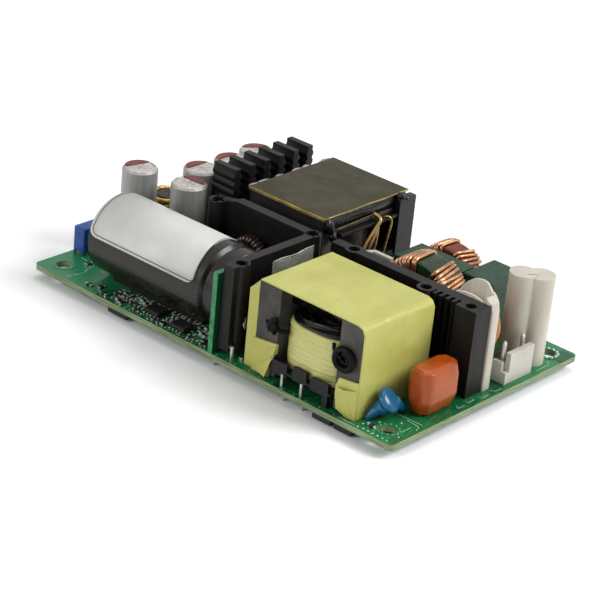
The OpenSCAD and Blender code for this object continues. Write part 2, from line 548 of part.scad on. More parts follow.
// shrouded input header with a tall locking wall and its middle way left out
module input_header() color([0.9, 0.89, 0.86]) difference() {
    union() {
        bx([57.2, 8.4, bt], [61.7, 19.8, bt + 3.4]);
        bx([60.2, 9.8, bt], [61.7, 19.8, bt + header_h]);
        bx([57.2, 8.4, bt], [60.2, 9.6, bt + 5.8]);
    }
    for (y = [11, 18.6]) cz(58.5, y, 0.57, bt - 1, bt + 5, 24);
}
module input_pins() color([0.85, 0.85, 0.82]) for (y = [11, 18.6]) {
    cz(58.5, y, 0.57, bt, bt + 9.9, 24);
    translate([58.5, y, bt + 9.9]) cylinder(r1 = 0.57, r2 = 0.25, h = 0.6, $fn = 24);
}

// dipped film capacitor, rounded all over
module film_capacitor() color([0.8, 0.33, 0.12]) hull()
    for (x = [54.9, 58]) for (y = [-18.6, -10.4]) for (z = [bt + 2.8, bt + film_h - 1.4])
        translate([x, y, z]) sphere(r = 1.9, $fn = 20);
module film_leads() color([0.8, 0.8, 0.77]) for (y = [-17.4, -11.6]) cz(56.4, y, 0.4, bt, bt + 2.4, 16);

// small coated disc leaning towards the boost choke on two coated leads
module disc_capacitor() color([0.1, 0.4, 0.68]) {
    translate([53.3, -28, bt + 4.6]) rotate([0, 50, 0])
        rotate_extrude($fn = 48) polygon([[0, -1.2], [disc_r - 1.3, -1.1], [disc_r - 0.4, -0.7], [disc_r, 0],
            [disc_r - 0.4, 0.7], [disc_r - 1.3, 1.1], [0, 1.2]]);
    seg([53.3, -30, bt + 4.7], [52.2, -33, bt + 2.6], 0.6);
    bx([51.4, -33.6, bt], [52.6, -32.4, bt + 3.1]);
    seg([53.4, -26, bt + 4.7], [53, -21.8, bt + 2.4], 0.6);
    bx([52.4, -22.3, bt], [53.6, -21.1, bt + 2.9]);
}

module output_choke_core() color([0.12, 0.12, 0.12]) cz(-57.7, 6.2, 3.4, bt, bt + 13.4);
module output_choke_coil() color([0.7, 0.56, 0.3]) for (i = [0 : 6]) translate([-57.7, 6.2, bt + 1 + i * 1.7])
    difference() {
        cylinder(r = 4.7, h = 1.1, $fn = 48);
        translate([0, 0, -1]) cylinder(r = 3.4, h = 3, $fn = 48);
    }
module aux_inductor_core() color([0.14, 0.14, 0.14]) ring([-12.4, -8.6], bt + 13, 4.9, 2.6, 2.4);
module aux_inductor_winding() color([0.78, 0.62, 0.42]) half_windings([-12.4, -8.6], bt + 13, 4.9, 2.6, 2.4, 0.7, 5, 20, -4);

module output_header() color([0.9, 0.89, 0.86]) {
    bx([-62.8, 12.4, bt], [-55.4, 27.6, bt + 2.6]);
    bx([-62.8, 12.4, bt], [-61.4, 27.6, bt + 7]);
}
module output_pins() color([0.85, 0.85, 0.82]) for (i = [0 : 3])
    bx([-58.8, 13.7 + i * 3.96, bt + 2.6], [-57.8, 14.7 + i * 3.96, bt + 7]);

pcb();
hole_lands();
lead_tips();
smd_top();
smd_terminals();
smd_underside();
bulk_capacitor();
bulk_label();
bulk_adhesive();
bulk_leads();
output_capacitors();
box_film_capacitor();
control_board();
heatsink_corner();
heatsink_fins();
heatsink_input();
heatsink_pins();
power_transistors();
bridge_rectifier();
insulator_film();
white_insulator();
transformer_core();
transformer_tape();
transformer_bobbin();
transformer_winding();
transformer_leads();
transformer_pins();
glue_dabs();
boost_core();
boost_tape();
boost_bobbin();
boost_winding();
boost_pins();
boost_knots();
cm_choke_core();
cm_choke_winding();
cm_choke_base();
dm_choke_core();
dm_choke_winding();
dm_choke_base();
x_capacitors();
thermistor_sleeve();
varistor();
fuse_sleeve();
input_header();
input_pins();
film_capacitor();
film_leads();
disc_capacitor();
output_choke_core();
output_choke_coil();
aux_inductor_core();
aux_inductor_winding();
output_header();
output_pins();
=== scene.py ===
import random
from math import acos, atan2, cos, dist, hypot, pi, radians, sin, sqrt

import bpy
from mathutils import Matrix, Vector, noise


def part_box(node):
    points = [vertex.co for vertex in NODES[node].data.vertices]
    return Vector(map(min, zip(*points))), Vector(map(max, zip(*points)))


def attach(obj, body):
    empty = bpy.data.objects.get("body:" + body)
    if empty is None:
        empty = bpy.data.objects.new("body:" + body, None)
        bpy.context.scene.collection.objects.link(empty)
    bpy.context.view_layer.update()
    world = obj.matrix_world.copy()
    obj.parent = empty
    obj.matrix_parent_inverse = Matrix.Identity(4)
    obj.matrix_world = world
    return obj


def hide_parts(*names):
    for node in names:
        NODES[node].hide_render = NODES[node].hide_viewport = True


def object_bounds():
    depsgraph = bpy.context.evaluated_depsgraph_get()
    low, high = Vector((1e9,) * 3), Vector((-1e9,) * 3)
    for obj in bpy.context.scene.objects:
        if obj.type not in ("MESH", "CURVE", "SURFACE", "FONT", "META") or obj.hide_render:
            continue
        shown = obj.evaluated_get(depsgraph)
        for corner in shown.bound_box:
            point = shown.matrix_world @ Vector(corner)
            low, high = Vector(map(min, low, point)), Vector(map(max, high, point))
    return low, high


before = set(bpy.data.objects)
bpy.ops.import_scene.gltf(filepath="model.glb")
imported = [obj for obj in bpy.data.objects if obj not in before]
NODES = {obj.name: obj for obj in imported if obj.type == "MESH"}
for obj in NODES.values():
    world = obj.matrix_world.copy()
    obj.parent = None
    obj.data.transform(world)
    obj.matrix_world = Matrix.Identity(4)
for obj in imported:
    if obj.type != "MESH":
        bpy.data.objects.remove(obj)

MM = 0.001
TURN = 2 * pi
cad_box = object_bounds()


# ---- materials
def linear(colour):
    """A "#rrggbb" colour as linear light, with alpha 1."""
    parts = [int(colour[i : i + 2], 16) / 255 for i in (1, 3, 5)]
    return tuple(c / 12.92 if c <= 0.04045 else ((c + 0.055) / 1.055) ** 2.4 for c in parts) + (1,)


def add_node(tree, kind, links=(), **settings):
    """New node whose settings are properties or inputs; links maps its inputs to their sources."""
    node = tree.nodes.new(kind)
    for key, value in settings.items():
        if hasattr(node, key):
            setattr(node, key, value)
        else:
            node.inputs[key.replace("_", " ")].default_value = value
    for socket, source in dict(links).items():
        tree.links.new(source, node.inputs[socket])
    return node


class Shader:
    """A Principled material built up node by node."""

    def __init__(self, name, **sockets):
        self.material = bpy.data.materials.new(name)
        self.material.use_nodes = True
        self.tree = self.material.node_tree
        self.principled = self.tree.nodes["Principled BSDF"]
        self.principled.inputs["Specular IOR Level"].default_value = 0.3
        self.place = self.add("ShaderNodeTexCoord").outputs["Object"]
        for socket, value in sockets.items():
            self.principled.inputs[socket.replace("_", " ")].default_value = value

    def add(self, kind, links=(), **settings):
        return add_node(self.tree, kind, links, **settings)

    def spot(self, stretch):
        """Object coordinates stretched along the axes."""
        if stretch == (1, 1, 1):
            return self.place
        return self.add("ShaderNodeMapping", {"Vector": self.place}, Scale=stretch).outputs["Vector"]

    def noise(self, scale, detail=3, stretch=(1, 1, 1)):
        node = self.add("ShaderNodeTexNoise", {"Vector": self.spot(stretch)}, Scale=scale, Detail=detail)
        return node.outputs["Fac"]

    def ramp(self, source, *stops):
        """Stops are (position, colour or value)."""
        node = self.add("ShaderNodeValToRGB", {"Fac": source})
        ramp = node.color_ramp
        while len(ramp.elements) < len(stops):
            ramp.elements.new(0.5)
        for element, (position, colour) in zip(ramp.elements, stops):
            element.position = position
            element.color = linear(colour) if isinstance(colour, str) else (colour, colour, colour, 1)
        return node.outputs["Color"]

    def patches(self, scale, low, high, detail=3, stretch=(1, 1, 1), stops=(0.3, 0.7)):
        """Noise between two colours or two values."""
        return self.ramp(self.noise(scale, detail, stretch), (stops[0], low), (stops[1], high))

    def mix(self, factor, a, b):
        node = self.add("ShaderNodeMix", {0: factor}, data_type="RGBA")
        for index, value in ((6, a), (7, b)):
            if isinstance(value, str):
                node.inputs[index].default_value = linear(value)
            else:
                self.tree.links.new(value, node.inputs[index])
        return node.outputs[2]

    def facing(self, axis, low, high):
        """1 where the surface faces along an axis, either way, and 0 across it."""
        normal = self.add("ShaderNodeNewGeometry").outputs["Normal"]
        split = self.add("ShaderNodeSeparateXYZ", {"Vector": normal})
        size = self.add("ShaderNodeMath", {0: split.outputs[axis]}, operation="ABSOLUTE")
        return self.ramp(size.outputs[0], (low, 0), (high, 1))

    def above(self, axis, low_mm, high_mm):
        """0 below low_mm along an axis, 1 above high_mm."""
        split = self.add("ShaderNodeSeparateXYZ", {"Vector": self.place})
        step = self.add("ShaderNodeMapRange", {"Value": split.outputs[axis]}, From_Min=low_mm * MM,
                        From_Max=high_mm * MM)
        return step.outputs["Result"]

    def made(self, colour, rough, height=None, strength=0, depth_mm=0):
        """Links colour, roughness and bump, and returns the finished material."""
        links = {"Base Color": colour, "Roughness": rough}
        if height is not None:
            bump = self.add("ShaderNodeBump", {"Height": height}, Strength=strength, Distance=depth_mm * MM)
            links["Normal"] = bump.outputs["Normal"]
        for socket, source in links.items():
            self.tree.links.new(source, self.principled.inputs[socket])
        return self.material


def moulded(name, dark, light, rough=(0.35, 0.5), patch=140, grain=2500, bump=0.15, stretch=(1, 1, 1),
            **sockets):
    """Plastic, lacquer or ceramic: patchy colour, uneven roughness and a fine grain."""
    s = Shader(name, **sockets)
    return s.made(s.patches(patch, dark, light, 4, stretch, (0.32, 0.68)),
                  s.patches(patch * 3, *rough, stretch=stretch), s.noise(grain, 2, stretch), bump, 0.05)


def board_material(name):
    """Green solder mask over copper pours, with the pale laminate at the edges."""
    s = Shader(name, Coat_Weight=0.12, Coat_Roughness=0.15)
    pours = s.add("ShaderNodeTexVoronoi", {"Vector": s.place}, Scale=75, distance="MANHATTAN")
    mask = s.ramp(pours.outputs["Color"], (0.3, "#03351a"), (0.36, "#064321"), (0.55, "#084a25"),
                  (0.6, "#0c5a2f"), (0.8, "#0f6035"), (0.84, "#1b6e41"))
    corner = s.ramp(s.above("X", -36, -48), (0.3, 0), (0.8, 0.75))
    mask = s.mix(corner, mask, "#1f8550")
    lanes = s.add("ShaderNodeTexWave", {"Vector": s.spot((1, 0.25, 1))}, Scale=420, Distortion=6,
                  Detail_Scale=0.6, bands_direction="DIAGONAL")
    mask = s.mix(s.ramp(lanes.outputs["Fac"], (0.78, 0), (0.9, 0.2)), mask, "#2d8a55")
    mask = s.mix(s.patches(45, 0, 0.25, 4, stops=(0.45, 0.75)), mask, "#2f8a55")
    layers = s.patches(700, "#566b49", "#8c9872", stretch=(0.2, 0.2, 5), stops=(0.35, 0.65))
    return s.made(s.mix(s.facing("Z", 0.3, 0.7), layers, mask), s.patches(500, 0.26, 0.4),
                  pours.outputs["Distance"], 0.1, 0.06)


def upright_board_material(name):
    """Dark green daughter board whose sawn edges show bright green."""
    s = Shader(name, Coat_Weight=0.12, Coat_Roughness=0.2)
    face = s.patches(260, "#06301a", "#0d4a2a", 4, stops=(0.35, 0.65))
    edge = s.patches(600, "#1a6437", "#348c54", stops=(0.35, 0.65))
    return s.made(s.mix(s.facing("X", 0.3, 0.7), edge, face), s.patches(500, 0.32, 0.46),
                  s.noise(900), 0.15, 0.05)


def land_material(name):
    """Masked ring round a hole, with bare solder on whatever stands above it."""
    s = Shader(name, Coat_Weight=0.3, Coat_Roughness=0.15)
    bright = s.mix(s.above("Y", -1, 1), "#27613f", s.patches(900, "#b9bab3", "#dadad4"))
    return s.made(s.mix(s.above("Z", 1.74, 1.78), s.patches(300, "#126a3a", "#1f8550"), bright),
                  s.patches(500, 0.25, 0.4))


def extrusion_material(name):
    """Black anodised aluminium with draw lines along the extrusion."""
    s = Shader(name, Metallic=0.2, Specular_IOR_Level=0.25)
    lines = s.noise(2600, 2, (1, 1, 0.02))
    return s.made(s.patches(150, "#0e0d0d", "#1a1817", 4, (1, 1, 0.3)),
                  s.ramp(lines, (0.3, 0.36), (0.7, 0.52)), lines, 0.35, 0.06)


def tape_material(name, dark, light):
    """Polyester tape: long soft creases and a satin face."""
    s = Shader(name, Coat_Weight=0.2, Coat_Roughness=0.3)
    return s.made(s.patches(90, dark, light, 5), s.patches(420, 0.32, 0.48),
                  s.noise(170, 3, (1, 1, 0.3)), 0.5, 1.6)


def copper_material(name, dark, light):
    """Enamelled round wire."""
    s = Shader(name, Metallic=0.85, Coat_Weight=0.6, Coat_Roughness=0.15)
    return s.made(s.patches(250, dark, light), s.patches(700, 0.24, 0.36), s.noise(1200), 0.04, 0.02)


def sleeve_material(name, dark, light):
    """Milky heat-shrink tubing."""
    s = Shader(name, Subsurface_Weight=0.25, Subsurface_Scale=0.003, Subsurface_Radius=(1, 0.9, 0.8),
               Coat_Weight=0.25, Coat_Roughness=0.3)
    return s.made(s.patches(90, dark, light, 5, (1, 1, 0.5)), s.patches(500, 0.38, 0.52),
                  s.noise(500, 4, (1, 1, 0.35)), 0.25, 0.3)


def can_material(name):
    """Satin aluminium can with a scuffed side and a brighter, speckled lid."""
    s = Shader(name, Metallic=0.3, Specular_IOR_Level=0.4)
    side = s.patches(600, "#8f8f8c", "#a5a5a2", 4, (1, 1, 0.1))
    lid = s.patches(1100, "#a59f9b", "#bfbab6", 5, stops=(0.35, 0.6))
    return s.made(s.mix(s.facing("Z", 0.6, 0.9), side, lid), s.patches(900, 0.42, 0.56),
                  s.noise(1800, 2, (1, 1, 0.2)), 0.1, 0.04)


def core_painted_shade_material(name):
    """Ferrite whose faces across Y are darkened to near black as painted shade, standing in for the shadow on
    the transformer's front face.
    """
    s = Shader(name)
    # painted shade: faces across Y take the near-black mix instead of the ferrite colour
    ferrite, black = (s.patches(240, dark, light, 4, stops=(0.32, 0.68))
                      for dark, light in (("#31302e", "#4a4844"), ("#0d0d0c", "#191817")))
    return s.made(s.mix(s.facing("Y", 0.4, 0.8), ferrite, black), s.patches(720, 0.5, 0.68),
                  s.noise(1800, 2), 0.35, 0.05)


MATS = {
    "board": board_material("solder_mask"),
    "upright_board": upright_board_material("daughter_mask"),
    "land": land_material("hole_land"),
    "tin": moulded("tinned_metal", "#b3b3ad", "#deded8", (0.22, 0.4), 500, 1500, 0.1, Metallic=1),
    "solder": moulded("solder_white", "#b9bab4", "#dcddd7", (0.25, 0.4), 700, Metallic=0.4),
    "chip": moulded("chip_black", "#141416", "#222225", (0.4, 0.55), Specular_IOR_Level=0.4),
    "sleeve_dark": moulded("capacitor_sleeve", "#12100e", "#1d1915", (0.2, 0.34), 120, 900, 0.2,
                           (0.3, 1, 1), Coat_Weight=0.15, Coat_Roughness=0.12),
    "label": moulded("label_paper", "#bfbeba", "#cbcac6", (0.3, 0.42), 90, 1600, 0.08),
    "ink": moulded("label_ink", "#1c1c1e", "#2c2c2f", (0.4, 0.5), 300),
    # black adhesive bar; its near-black colour also serves as painted shadow under the big capacitor
    "adhesive": moulded("adhesive_with_painted_shadow", "#090a07", "#12130f", (0.6, 0.75), 160, 700, 0.4),
    "can": can_material("can_aluminium"),
    "can_red": moulded("can_lid_paint", "#5a2321", "#763530", patch=400),
    "blue_box": moulded("box_blue", "#14397a", "#24529a", (0.25, 0.4), 200),
    "extrusion": extrusion_material("black_anodised"),
    "epoxy": moulded("epoxy_black", "#131315", "#201f21", (0.45, 0.6), Specular_IOR_Level=0.35),
    "film": moulded("grey_film", "#7d807d", "#9a9d99", (0.15, 0.3), 100, Transmission_Weight=0.5, Alpha=0.7),
    "plate": moulded("white_plate", "#a19d8c", "#b3ae9d", (0.4, 0.55), 120),
    "ferrite": moulded("ferrite", "#31302e", "#4a4844", (0.5, 0.68), 240, 1800, 0.35),
    # transformer core with painted shade on its faces across Y
    "core_painted_shade": core_painted_shade_material("core_painted_shade"),
    "olive": moulded("olive_tape", "#302c1c", "#3f3a29", (0.4, 0.55), 110, 900, 0.2, Specular_IOR_Level=0.15),
    "gold": moulded("gilt_edge", "#6e5f22", "#a08d3c", (0.25, 0.4), 300, Coat_Weight=0.4),
    "bobbin": moulded("bobbin_black", "#0b0b0c", "#151517"),
    "gloss_black": moulded("glossy_black", "#060606", "#0e0d0d", (0.2, 0.34), 200, 500, 0.06,
                           Coat_Weight=0.08),
    "tie_black": moulded("tie_black", "#030303", "#080808", (0.35, 0.5), 200, 500, 0.06,
                         Specular_IOR_Level=0.12),
    "dark_coil": tape_material("dark_winding", "#15110d", "#2a1f14"),
    "copper": copper_material("copper_wire", "#945f3b", "#cd9a70"),
    "dark_wire": moulded("dark_enamel", "#211510", "#4a332a", (0.12, 0.25), 300, 900, 0.1,
                         Coat_Weight=0.8, Coat_Roughness=0.08),
    "lead_gold": copper_material("gilt_leads", "#94763c", "#c2a468"),
    "clear_glue": moulded("clear_glue", "#8d8c85", "#b5b3ab", (0.15, 0.3), Transmission_Weight=0.3),
    "yellow": tape_material("yellow_tape", "#a5a34f", "#b7b565"),
    "pale_yellow": tape_material("coil_tape", "#b1ae66", "#c6c383"),
    "green_core": moulded("green_core", "#10240d", "#1b3918", (0.3, 0.45), 220, Coat_Weight=0.12),
    "red_core": moulded("red_core", "#4c1b10", "#6f2f1f", (0.3, 0.45), 220, Coat_Weight=0.12),
    "green_box": moulded("green_box", "#173122", "#233f2e", (0.4, 0.55), 160, 1600, 0.2),
    "white_sleeve": sleeve_material("white_sleeve", "#aca79a", "#c0bbae"),
    "amber": moulded("amber_coating", "#8a5212", "#b47420", (0.2, 0.35), 300, Coat_Weight=0.6),
    "header": moulded("header_nylon", "#aeaba3", "#bebbb3", (0.38, 0.5), 120),
    "orange": moulded("orange_dip", "#853507", "#a0480e", (0.2, 0.34), 110, 500, 0.2, Coat_Weight=0.2,
                      Coat_Roughness=0.1),
    "disc": moulded("blue_dip", "#02486c", "#0b6690", (0.2, 0.35), 260, 700, 0.3, Coat_Weight=0.3),
    "brass": copper_material("brass_coil", "#a07a35", "#d0a95e"),
    "ink_white": moulded("board_print", "#8fb59c", "#b5cfbd", (0.5, 0.6), 400),
    "trace": moulded("mask_over_copper", "#16713f", "#2b8b56", (0.25, 0.4), 200, Coat_Weight=0.35),
}

# The CAD nodes that wear each look, and how far their edges are rounded.
LOOKS = {
    "board": "pcb", "upright_board": "control_board", "land": "hole_lands",
    "tin": "lead_tips smd_terminals bulk_leads heatsink_pins transformer_pins boost_pins film_leads "
           "output_pins",
    "solder": "input_pins", "chip": "smd_top smd_underside", "sleeve_dark": "bulk_capacitor",
    "label": "bulk_label", "adhesive": "bulk_adhesive", "can": "output_capacitors",
    "blue_box": "box_film_capacitor", "extrusion": "heatsink_corner heatsink_fins heatsink_input",
    "epoxy": "power_transistors bridge_rectifier", "film": "insulator_film", "plate": "white_insulator",
    "ferrite": "boost_core output_choke_core aux_inductor_core", "core_painted_shade": "transformer_core",
    "olive": "transformer_tape", "dark_coil": "transformer_winding", "lead_gold": "transformer_leads",
    "bobbin": "transformer_bobbin boost_bobbin boost_knots cm_choke_base dm_choke_base",
    "clear_glue": "glue_dabs", "yellow": "boost_tape", "pale_yellow": "boost_winding",
    "copper": "cm_choke_winding dm_choke_winding aux_inductor_winding", "green_core": "cm_choke_core",
    "red_core": "dm_choke_core", "green_box": "x_capacitors", "amber": "varistor",
    "white_sleeve": "thermistor_sleeve fuse_sleeve", "header": "input_header output_header",
    "orange": "film_capacitor", "disc": "disc_capacitor", "brass": "output_choke_coil",
}
ROUNDING_MM = {
    0.05: "smd_terminals", 0.08: "smd_top", 0.1: "smd_underside control_board",
    0.12: "heatsink_fins transformer_tape pcb", 0.15: "heatsink_corner heatsink_input boost_bobbin",
    0.2: "boost_tape boost_core transformer_bobbin power_transistors output_header boost_knots",
    0.25: "transformer_core input_header", 0.3: "bridge_rectifier white_insulator",
    0.4: "box_film_capacitor", 0.5: "x_capacitors", 0.6: "fuse_sleeve cm_choke_core dm_choke_core",
    0.8: "thermistor_sleeve",
}


def soften(obj, width_mm):
    bevel = obj.modifiers.new("soft_edges", "BEVEL")
    bevel.width = width_mm * MM
    bevel.segments = 3
    bevel.limit_method = "ANGLE"
    bevel.angle_limit = radians(40)


def dress_nodes():
    """Gives every CAD node its material, smooth faces and softened edges."""
    rounding = {name: width for width, names in ROUNDING_MM.items() for name in names.split()}
    for look, names in LOOKS.items():
        for name in names.split():
            node = NODES[name]
            node.data.materials.clear()
            node.data.materials.append(MATS[look])
            if name in rounding:
                node.modifiers.new("weld", "WELD").merge_threshold = 0.005 * MM
                soften(node, rounding[name])
            for face in node.data.polygons:
                face.use_smooth = True
            node.modifiers.new("normals", "WEIGHTED_NORMAL").keep_sharp = True


# ---- geometry helpers
def add_object(name, data):
    obj = bpy.data.objects.new(name, data)
    bpy.context.scene.collection.objects.link(obj)
    return obj


def piece(name, pile, look, smooth=True, replaces=()):
    mesh = bpy.data.meshes.new(name)
    mesh.from_pydata([tuple(c * MM for c in v) for v in pile.verts], [], pile.faces)
    mesh.update()
    obj = add_object(name, mesh)
    mesh.materials.append(MATS[look])
    for face in mesh.polygons:
        face.use_smooth = smooth
    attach(obj, "root")
    if replaces:
        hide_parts(*replaces)
    return obj


def circle(sides):
    return [(cos(TURN * k / sides), sin(TURN * k / sides)) for k in range(sides)]


def shares(steps):
    """0 to 1 in equal steps, both ends included."""
    return [k / steps for k in range(steps + 1)]


def squircle(centre, rx, ry, power, samples):
    """Points round a squared-off ellipse."""
    points = []
    for c, s in circle(samples):
        size = (abs(c) ** power + abs(s) ** power) ** (-1 / power)
        points.append((centre[0] + rx * size * c, centre[1] + ry * size * s))
    return points


def smooth(points, steps=6):
    """Catmull-Rom curve through the points."""
    points = [Vector(p) for p in points]
    ends = [2 * points[0] - points[1]] + points + [2 * points[-1] - points[-2]]
    path = []
    for a, b, c, d in zip(ends, ends[1:], ends[2:], ends[3:]):
        for t in shares(steps)[:-1]:
            path.append(0.5 * (2 * b + (c - a) * t + (2 * a - 5 * b + 4 * c - d) * t * t
                               + (3 * b - a - 3 * c + d) * t ** 3))
    return path + [points[-1]]


class Pile:
    """Vertices and faces of many small shapes that make one piece, in mm."""

    def __init__(self):
        self.verts = []
        self.faces = []

    def put(self, verts, faces, inward=False):
        """Adds a shape. inward turns its faces round."""
        start = len(self.verts)
        self.verts += [tuple(v) for v in verts]
        for face in faces:
            self.faces.append(tuple(start + i for i in (face[:1] + face[:0:-1] if inward else face)))

    def loft(self, rows, closed=True, wrap=False, ends=True, inward=False):
        """Skin over rows of points. closed joins each row's ends and wrap the last row to the first.
        ends closes both ends with a face, or with a fan round each of two given points."""
        count, width = len(rows), len(rows[0])
        faces = [
            (i * width + k, i * width + (k + 1) % width, (i + 1) % count * width + (k + 1) % width,
             (i + 1) % count * width + k)
            for i in range(count if wrap else count - 1) for k in range(width if closed else width - 1)
        ]
        points = [point for row in rows for point in row]
        last, tip = (count - 1) * width, len(points)
        if ends is True:
            faces += [tuple(reversed(range(width))), tuple(range(last, tip))]
        elif ends:
            points += ends
            for k in range(width):
                after = (k + 1) % width
                faces += [(tip, after, k), (tip + 1, last + k, last + after)]
        self.put(points, faces, inward)

    def sheet(self, front, back, inward=False):
        """Thin closed sheet between two grids of points. inward turns its two faces, not the rim."""
        grid = Pile()
        grid.loft(front, closed=False, ends=False, inward=inward)
        rows, width, behind = len(front), len(front[0]), len(grid.verts)
        rim = list(range(width)) + [i * width + width - 1 for i in range(1, rows)]
        rim += [(rows - 1) * width + k for k in reversed(range(width - 1))]
        rim += [i * width for i in reversed(range(1, rows - 1))]
        faces = grid.faces + [tuple(behind + i for i in reversed(face)) for face in grid.faces]
        faces += [(b, a, behind + a, behind + b) for a, b in zip(rim, rim[1:] + rim[:1])]
        self.put(grid.verts + [point for row in back for point in row], faces)

    def tube(self, path, radius, sides=10, closed=False):
        """Round wire along a path. The radius may be a function of the share of the path."""
        path = [Vector(p) for p in path]
        count = len(path)
        rings = []
        side = None
        for i, point in enumerate(path):
            ahead = path[(i + 1) % count] if closed or i < count - 1 else point
            behind = path[i - 1] if closed or i > 0 else point
            along = (ahead - behind).normalized()
            if side is None:
                side = along.orthogonal().normalized()
            side = (side - along * side.dot(along)).normalized()
            up = along.cross(side)
            size = radius(i / (count - 1)) if callable(radius) else radius
            rings.append([point + size * (side * c + up * s) for c, s in circle(sides)])
        self.loft(rings, wrap=closed, ends=not closed)

    def box(self, low, high):
        xs, ys, zs = zip(low, high)
        verts = [(x, y, z) for x in xs for y in ys for z in zs]
        self.put(verts, [(0, 1, 3, 2), (4, 6, 7, 5), (0, 4, 5, 1), (2, 3, 7, 6), (0, 2, 6, 4), (1, 5, 7, 3)])

    def disc(self, centre, radius, height, sides=16, top=1.0):
        """Upright disc whose top is drawn in or out by a factor."""
        x, y, z = centre
        self.loft([[(x + reach * c, y + reach * s, level) for c, s in circle(sides)]
                   for reach, level in ((radius, z), (radius * top, z + height))])

    def blob(self, centre, size, seed, rough=0.35, rings=12, sides=16):
        """Uneven lump of glue."""
        centre, size = Vector(centre), Vector(size)
        rows = []
        for polar in (pi * r / rings for r in range(1, rings)):
            row = []
            for c, s in circle(sides):
                d = Vector((sin(polar) * c, sin(polar) * s, cos(polar)))
                push = 1 + rough * noise.noise(d * 1.8 + Vector((seed, seed, 0)))
                row.append(centre + d * size * push)
            rows.append(row)
        pole = Vector((0, 0, size.z))
        self.loft(rows, ends=(centre + pole, centre - pole), inward=True)


def chip(bodies, ends, spot, half, body, cap, end, lip=0.0, inset=0.0):
    """Chip part, solder at both short sides: body and cap are heights, end is the solder's length."""
    (x, y), (w, d) = spot, half
    wide = w > d
    dx, dy = (inset, 0) if wide else (0, inset)
    bodies.box((x - w + dx, y - d + dy, body[0]), (x + w - dx, y + d - dy, body[1]))
    for side in (-1, 1):
        mx, hw = (x + side * (w - end / 2), end / 2 + lip) if wide else (x, w + lip)
        my, hd = (y, d + lip) if wide else (y + side * (d - end / 2), end / 2 + lip)
        ends.box((mx - hw, my - hd, cap[0]), (mx + hw, my + hd, cap[1]))


def box_mm(node):
    low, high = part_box(node)
    return Vector(low) / MM, Vector(high) / MM


def solids(node):
    """The box of each separate solid of a CAD node, in mm."""
    mesh = NODES[node].data
    spots = {}
    owner = [spots.setdefault(tuple(round(c * 1e5) for c in v.co), len(spots)) for v in mesh.vertices]
    parent = list(range(len(spots)))

    def root(i):
        while parent[i] != i:
            parent[i] = parent[parent[i]]
            i = parent[i]
        return i

    for edge in mesh.edges:
        a, b = (root(owner[i]) for i in edge.vertices)
        parent[a] = b
    groups = {}
    for v in mesh.vertices:
        groups.setdefault(root(owner[v.index]), []).append(v.co / MM)
    boxes = [(Vector(map(min, zip(*points))), Vector(map(max, zip(*points)))) for points in groups.values()]
    return sorted(boxes, key=lambda b: tuple(round(c, 2) for c in b[0]))


# ---- camera, light, floor
def camera():
    azimuth, elevation, roll = (radians(a) for a in (39.741, 25.682, 5.7456))
    distance, across, above = 586.91, -0.556, 3.556
    back = Vector((sin(azimuth) * cos(elevation), -cos(azimuth) * cos(elevation), sin(elevation)))
    right = (-back).cross(Vector((0, 0, 1))).normalized()
    up = right.cross(-back)
    data = bpy.data.cameras.new("camera")
    data.sensor_width = 36
    data.lens = 132.17
    data.clip_start = 0.01
    obj = add_object("camera", data)
    place = back * distance + right * across + up * above
    axes = Matrix((right * cos(roll) + up * sin(roll), up * cos(roll) - right * sin(roll), back)).transposed()
    obj.matrix_world = Matrix.Translation([c * MM for c in place]) @ axes.to_4x4()
    bpy.context.scene.camera = obj


def area_light(name, place, target, size, power):
    data = bpy.data.lights.new(name, "AREA")
    data.shape = "RECTANGLE"
    data.size, data.size_y = size
    data.energy = power
    aim = Vector(target) - Vector(place)
    turn = aim.to_track_quat("-Z", "Y").to_matrix().to_4x4()
    add_object(name, data).matrix_world = Matrix.Translation(place) @ turn


def white_to_the_camera(tree, shaded):
    """Plain white for camera, glossy and transmission rays; other rays see the shaded result."""
    rays = add_node(tree, "ShaderNodeLightPath").outputs
    seen = rays["Is Camera Ray"]
    for ray in ("Is Glossy Ray", "Is Transmission Ray"):
        seen = add_node(tree, "ShaderNodeMath", {0: seen, 1: rays[ray]}, operation="MAXIMUM").outputs[0]
    white = add_node(tree, "ShaderNodeBackground", Strength=1.0).outputs[0]
    return add_node(tree, "ShaderNodeMixShader", {0: seen, 1: shaded, 2: white}).outputs[0]


def studio():
    scene = bpy.context.scene
    scene.view_settings.view_transform = "Standard"
    world = bpy.data.worlds.new("studio")
    world.use_nodes = True
    scene.world = world
    tree = world.node_tree
    sky = tree.nodes["Background"]
    sky.inputs["Color"].default_value = (1, 1, 1, 1)
    sky.inputs["Strength"].default_value = 0.4
    tree.links.new(white_to_the_camera(tree, sky.outputs[0]), tree.nodes["World Output"].inputs["Surface"])
    area_light("key", (0.56, 0.36, 0.56), (0, 0, 0.01), (0.4, 0.4), 6.2)
    area_light("top", (-0.1, 0.25, 0.8), (0, 0, 0), (0.6, 0.6), 2.15)
    area_light("front", (-0.25, -0.75, 0.42), (0, 0, 0.01), (0.5, 0.4), 3.0)

    half, gap = 3.0, 0.00002
    z = cad_box[0][2] - gap
    floor = bpy.data.meshes.new("floor")
    corners = ((-half, -half), (half, -half), (half, half), (-half, half))
    floor.from_pydata([(x, y, z) for x, y in corners], [], [(0, 1, 2, 3)])
    paper = Shader("floor_white", Roughness=0.9, Specular_IOR_Level=0.0)
    grain = paper.add("ShaderNodeTexNoise", Scale=30).outputs["Fac"]
    tone = paper.ramp(grain, (0.0, 0.93), (1.0, 0.97))
    paper.tree.links.new(tone, paper.principled.inputs["Base Color"])
    floor.materials.append(paper.material)
    add_object("floor", floor)


